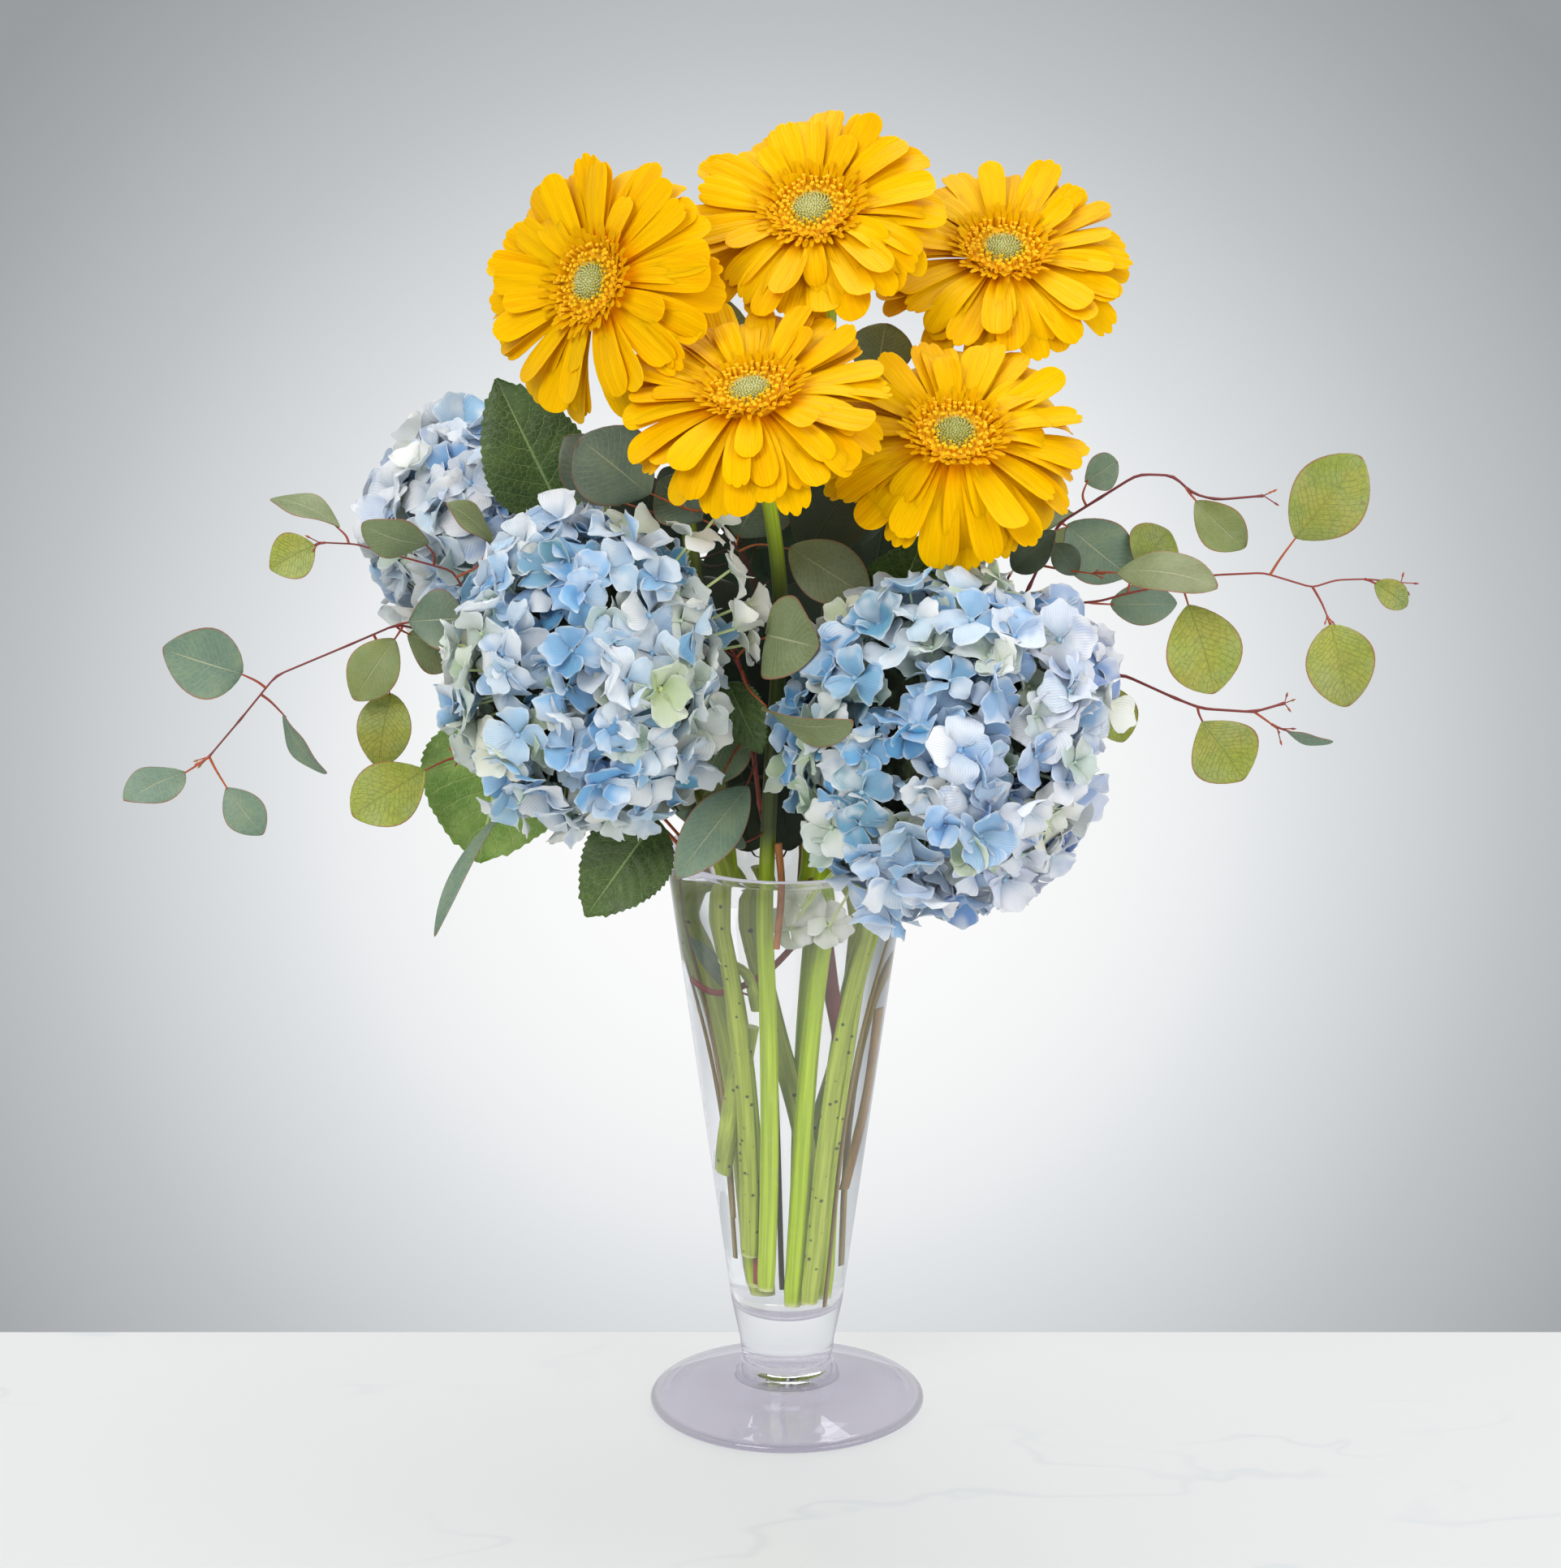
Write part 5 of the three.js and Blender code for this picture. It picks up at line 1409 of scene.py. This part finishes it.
# Cream florets that stand out from a head on longer stalks
OUTLIERS = {
    "left": [
        (-40, -68, 419), (-24, -60, 404), (-17, -56, 388), (-16, -58, 371), (-31, -52, 424), (-22, -66, 380),
    ],
    "right": [(6, -35, 247), (17, -36, 240), (1, -31, 238)],
    "back": [],
}


def fullness(name, directions):
    """How far a head reaches in some directions, as a share of its radii."""
    share = np.full(directions.shape[:-1], HEAD_SHARES[name])
    for toward, spread, depth in HOLLOWS[name]:
        angle = np.arccos(np.clip(directions @ unit(toward), -1, 1))
        share -= depth * np.exp(-((angle / spread) ** 2))
    return share


def grow_head(name, spec):
    owner = f"head_{name}"
    draw = random.Random(spec["seed"])
    centre, radii = np.array(spec["centre"], float), np.array(spec["radii"], float)
    growth, inner = Growth(), Growth()
    # A core ball under the florets, dark with painted shade
    ball = [(math.sin(a), -math.cos(a)) for a in np.linspace(0.2, math.pi - 0.2, 20)]
    core = [(AXIS_GAP, -1.0), *ball, (AXIS_GAP, 1.0)]
    points, faces = turned_form((0, 0, 0), (0, 0, 1), core, 40)
    points *= fullness(name, unit(points))[:, None] * radii * CORE_SHARE
    inner.add(points + centre, faces, 2)

    def add_at(place, direction, normal, size, openness, sunk, colours):
        """Adds a floret, smaller and deeper if it would touch another piece, or none."""
        lean = unit(np.cross(normal, [draw.uniform(-1, 1) for _ in range(3)]))
        outward = turned(normal, lean, math.radians(min(abs(draw.gauss(0, 28)), 60)))
        root = centre + direction * radii * CORE_SHARE * 0.94 * fullness(name, direction)
        spin, gape = draw.random() * math.pi, openness + abs(draw.gauss(0, 14))
        size *= FLORET_SIZES[name]
        whole, places = (inner, PETAL_INNER) if sunk else (growth, PETAL_OUTER)
        for smaller in (1.0, 0.8, 0.6, 0.45):
            inward = place - normal * (1 - smaller) * 9
            given = (owner, inward, outward, spin, size * smaller, gape + 40 * (1 - smaller), colours)
            if add_floret(whole, *given, places, draw, root):
                return

    for place in np.array(OUTLIERS[name], float):
        direction = unit((place - centre) / radii)
        high = place[2] > RIM_Z
        faces = unit(direction / radii) if high else -FRONT * (-1, 1, 1)
        add_at(place, direction, faces, 0.9 if high else 0.7, 18, 0, (0.05, 0.9, 0))
    florets = spec["florets"]
    # Share of the radius, number of florets, their size and least opening
    layers = ((0.94, florets, 1.0, 4), (0.84, florets * 3 // 5, 0.78, 16), (0.76, florets * 2 // 5, 0.6, 34))
    for sunk, (share, number, size, openness) in zip((0, 0.6, 1), layers):
        for i in range(number):
            height = 1 - 2 * (i + 0.5) / number
            around = spiral(i) + 0.45 * draw.random() + 7 * share
            level = math.sqrt(1 - height * height)
            direction = np.array((level * math.cos(around), level * math.sin(around), height))
            normal = unit(direction / radii)
            depth = (share + draw.uniform(-0.1, 0.035)) * fullness(name, direction)
            place = centre + direction * radii * depth
            colours = head_colours(name, direction, sunk, draw)
            add_at(place, direction, normal, size * draw.uniform(0.76, 1.2), openness, sunk, colours)
    node, slot = f"hydrangea_head_{name}", "hydrangea_floret"
    growth.piece(f"hydrangea_florets_{name}", [FLORET_BLUE, FLORET_HEART], node, slot)
    inner.piece(f"hydrangea_under_florets_{name}", [FLORET_BLUE, FLORET_HEART, HEAD_SHADE], node, slot)


def grow_hydrangea_stem(name, spec):
    owner = f"hydrangea_stem_{name}"
    growth = Growth()
    centre, radii = np.array(spec["centre"], float), np.array(spec["radii"], float)
    route = stem_route(spec, [centre])
    route = route[np.linalg.norm((route - centre) / radii, axis=1) > CORE_SHARE * 0.9]
    stem_radii = np.full(len(route), HYDRANGEA_STEM_RADIUS)
    stem_radii[0] *= 0.88
    stem_radii *= 1 + 0.14 * np.exp(-(((np.linspace(0, 1, len(route)) - 0.42) / 0.02) ** 2))
    add_stem(growth, owner, route, stem_radii, 16, 1)
    add_cuttings(growth, owner)
    spec["routes"] = [route]
    for petiole in spec["petioles"]:
        path = smooth_path([nearest_on(spec["routes"], petiole[0]), *petiole[1:]], 5)
        add_stem(growth, owner, path, np.linspace(2.0, 1.5, len(path)), 10, 1)
        spec["routes"].append(path)
    spec["growth"] = growth


def grow_hydrangea_leaves(name, spec):
    owner = f"hydrangea_stem_{name}"
    growth, routes = spec["growth"], spec["routes"]
    for number, leaf in enumerate(spec["leaves"]):
        base, tip = leaf[:2]
        draw = random.Random(f"{name} {number}")
        bright = 0.85 if name == "left" and number == 0 else 0.12 * draw.random()
        along = unit(np.subtract(tip, base))
        attach = nearest_on(routes, np.asarray(base) - along * PETIOLE_LENGTH)

        def blade(at, end, wide, turn):
            return hydrangea_blade(at, end, wide, turn, random.Random(f"{name} {number}"), bright)

        placed = place_leaf(growth, owner, attach, leaf, blade, HYDRANGEA_LEAF_THICKNESS)
        if placed:
            add_petiole(growth, attach, *placed, 1.3, 1)
    growth.piece(f"hydrangea_greens_{name}", [HYDRANGEA_LEAF, HYDRANGEA_STALK], owner, "hydrangea_leaf")


# ---------------------------------------------------------------- eucalyptus

# Where the leaves of the back spray face
BACK_FACES = unit((0, 0.75, 0.66))


def leaves_along(route, start, pairs, seed):
    """Leaves in alternating places along the outer part of a route, and one at its tip."""
    draw = random.Random(seed)
    leaves = []
    ahead = unit(np.gradient(route, axis=0))
    for i in range(2 * pairs):
        share = start + (0.96 - start) * i / (2 * pairs - 1)
        at = round(share * (len(route) - 1))
        side = unit(np.cross(ahead[at], BACK_FACES))
        lean = unit(ahead[at] * 0.6 + side * (1 if i % 2 else -1))
        base = route[at] + lean * PETIOLE_LENGTH
        length = 24 + 8 * draw.random()
        leaves.append((base, base + lean * length, length * 0.84, 20 * draw.random(), draw.uniform(0.2, 0.9)))
    last = route[-1] + ahead[-1] * 4
    leaves.append((last, last + ahead[-1] * 28, 22, 0, draw.uniform(0.2, 0.9)))
    return leaves


def add_buds(growth, tip, toward, draw, number):
    """A few small buds on thin stalks at the end of a twig."""
    for _ in range(number):
        lean = unit(np.asarray(toward) + np.array([draw.uniform(-0.8, 0.8) for _ in range(3)]))
        reach = draw.uniform(2.5, 6.0)
        end = tip + lean * reach
        growth.add_tube(np.linspace(tip - lean * 0.3, end, 4), 0.26, 5, 1, tone=draw.uniform(0.1, 0.6))
        profile = [(0.2, -0.2), (0.45, 0.5), (0.52, 1.2), (0.3, 2.0), (0.06, 2.6)]
        growth.add_turned(end, lean, profile, 7, 1, tone=draw.uniform(0.2, 0.9))


def grow_spray_stem(name, spec):
    owner = f"eucalyptus_{name}"
    growth = Growth()
    draw = random.Random(f"twigs {name}")
    route = stem_route(spec, (), kinked_path, 3.5)
    shares = np.interp(run_of(route), (0, 200, 240, 300, 360, 520), (0.6, 0.6, 0.8, 0.62, 0.42, 0.32))
    radii = SPRAY_RADIUS * spec.get("stout", 1.0) * shares
    corners = np.array(spec["stem"], float)
    knot = np.min(np.linalg.norm(route[:, None] - corners[None], axis=2), axis=1)
    radii *= 1 + 0.5 * np.exp(-((knot / 1.6) ** 2))
    tone = np.repeat(np.interp(route[:, 2], (250, 300), (0.95, draw.uniform(0.0, 0.35))), 10)
    add_stem(growth, owner, route, radii, 10, 1, tone=tone, tint=spec.get("shade", 0))
    add_cuttings(growth, owner)
    spec["routes"] = [route]
    for twig in spec["twigs"]:
        path = kinked_path([nearest_on(spec["routes"], twig[0]), *twig[1:]], 3)
        thin = np.linspace(TWIG_RADIUS * 0.6, TWIG_RADIUS * 0.36, len(path))
        add_stem(growth, owner, path, thin, 8, 1, tone=draw.uniform(0.1, 0.7), tint=spec.get("shade", 0))
        spec["routes"].append(path)
    for path in spec["routes"]:
        add_buds(growth, path[-1], unit(path[-1] - path[-2]), draw, 3)
    spec["growth"] = growth


def grow_spray_leaves(name, spec):
    owner = f"eucalyptus_{name}"
    growth, routes = spec["growth"], spec["routes"]
    leaves = [(leaf, FRONT) for leaf in spec["leaves"]]
    for seed, (route, start, pairs) in enumerate(spec.get("pairs", ())):
        leaves += [(leaf, BACK_FACES) for leaf in leaves_along(routes[route], start, pairs, 71 + seed)]
    for number, (leaf, faces) in enumerate(leaves):
        base, tip, _, _, tone = leaf
        along = unit(np.subtract(tip, base))
        attach = nearest_on(routes, np.asarray(base, float) - along * PETIOLE_LENGTH)

        def blade(at, end, wide, turn):
            return eucalyptus_blade(at, end, wide, turn, random.Random(f"{name} {number}"), tone, faces)

        placed = place_leaf(growth, owner, attach, leaf, blade, EUCALYPTUS_LEAF_THICKNESS, faces)
        if placed:
            draw = random.Random(f"stalk {name} {number}")
            # Stalks of leaves that are dark with painted shade get painted shade too
            shade = float(tone < 0.16 and faces is FRONT)
            add_petiole(growth, attach, *placed, 0.5, 1, tone=draw.uniform(0.2, 0.8), tint=shade)
    growth.piece(f"silver_dollar_{name}", [EUCALYPTUS_LEAF, TWIG_RED], owner, "eucalyptus")


# ---------------------------------------------------------------- the whole

grow_vase()
grow_water()
for index, spec in enumerate(GERBERAS, 1):
    grow_gerbera_stem(index, spec)
for name, spec in HYDRANGEAS.items():
    grow_hydrangea_stem(name, spec)
for name, spec in SPRAYS.items():
    grow_spray_stem(name, spec)
for index, spec in enumerate(GERBERAS, 1):
    grow_eye(index, spec)
for index in (4, 5, 1, 2, 3):
    grow_bloom(index, GERBERAS[index - 1])
for name, spec in SPRAYS.items():
    grow_spray_leaves(name, spec)
for name, spec in HYDRANGEAS.items():
    grow_hydrangea_leaves(name, spec)
for name, spec in HYDRANGEAS.items():
    grow_head(name, spec)

# ---------------------------------------------------------------- floor, light and camera

# In metres: where the table ends behind the vase, and how far the floor goes
TABLE_EDGE = 0.08
FLOOR_REACH = 12.0

# Place in metres, tilt down, then lens and sensor in millimetres
CAMERA_PLACE = (-0.003, -2.0, 0.857)
CAMERA_PITCH = math.radians(15.75)
CAMERA_LENS = 108.07
CAMERA_SENSOR = 36.0

# The middle and the edge of the glow on the backdrop, as shares of the distance
GLOW_UP = -0.0007
GLOW_REACH = 0.2257

# Place, height that it faces, and size in metres, then power in watts
LIGHTS = {
    "key": ((-1.1, -1.7, 1.9), 0.38, 1.2, 30),
    "fill": ((1.5, -1.4, 0.9), 0.36, 1.4, 17),
    "top": ((0.1, 0.5, 2.1), 0.4, 1.2, 16),
}


def pale_floor():
    """Pale stone up to the table's edge, and beyond it a glowing backdrop: a painted pool of light
    that darkens away from the middle.

    The backdrop's tone is laid out by sight lines from the front: how far right and how far up each
    point of the floor is as seen from CAMERA_PLACE, in shares of the distance.
    """
    finish = Finish("pale_floor")
    x, y, _ = finish.axes()
    cloud = finish.noise(3.2, 5.0)
    wander = finish.noise(1.0, 3.0, finish.point(x * 3.5, y * 9, cloud * 2))
    thread = abs(wander - 0.5).ramp(0.014, 0.0) * cloud.ramp(0.48, 0.6)
    stone = finish.blend(thread * 0.75 + cloud.ramp(0.56, 0.72) * 0.25, "#989B9A", "#858C90")
    inputs = {"Base Color": stone, "Roughness": 0.35, "Emission Color": "#AEAEAE", "Emission Strength": 1.0}
    table = finish.node("ShaderNodeBsdfPrincipled", {}, inputs)
    ahead, height = y - CAMERA_PLACE[1], CAMERA_PLACE[2]
    cos, sin = math.cos(CAMERA_PITCH), math.sin(CAMERA_PITCH)
    depth = ahead * cos + height * sin
    right = (x - CAMERA_PLACE[0]) / depth
    up = (ahead * sin - height * cos) / depth - GLOW_UP
    away = (right * right + up * up) ** 0.5 / GLOW_REACH
    # Painted light on the backdrop, brightest in the middle
    glow = finish.stops(away, {
        0.0: "#FCFCFC", 0.2: "#FBFBFB", 0.325: "#F4F6F6", 0.42: "#EAECEE", 0.51: "#DBDFE1",
        0.61: "#CDD1D4", 0.7: "#BFC3C6", 0.78: "#B5B9BC", 0.88: "#A7ABAE", 1.0: "#999DA0",
    })
    return finish.close(finish.mix(y.above(TABLE_EDGE), table, finish.glow(glow)))


def make_floor():
    mesh = bpy.data.meshes.new("floor")
    far = FLOOR_REACH
    mesh.from_pydata([(-far, -far, 0), (far, -far, 0), (far, far, 0), (-far, far, 0)], [], [(0, 1, 2, 3)])
    mesh.materials.append(pale_floor())
    shown("floor", mesh)


def make_light(name, place, aim, size, power):
    """A square lamp that faces a height on the vase's axis."""
    lamp = bpy.data.lights.new(name, "AREA")
    lamp.shape = "SQUARE"
    lamp.size, lamp.energy = size, power
    light = shown(name, lamp)
    light.location = place
    light.rotation_euler = (Vector((0, 0, aim)) - Vector(place)).to_track_quat("-Z", "Y").to_euler()


def make_world():
    world = bpy.data.worlds.new("studio")
    world.use_nodes = True
    background = world.node_tree.nodes["Background"]
    background.inputs["Color"].default_value = paint("#F0F1F1")
    background.inputs["Strength"].default_value = 0.66
    bpy.context.scene.world = world


def make_camera():
    camera = bpy.data.cameras.new("camera")
    camera.lens, camera.sensor_width = CAMERA_LENS, CAMERA_SENSOR
    camera.clip_start, camera.clip_end = 0.05, 60.0
    made = shown("camera", camera)
    made.location = CAMERA_PLACE
    made.rotation_euler = (math.pi / 2 - CAMERA_PITCH, 0, 0)
    bpy.context.scene.camera = made


make_floor()
for name, given in LIGHTS.items():
    make_light(name, *given)
make_world()
make_camera()
bpy.context.scene.view_settings.view_transform = "Standard"
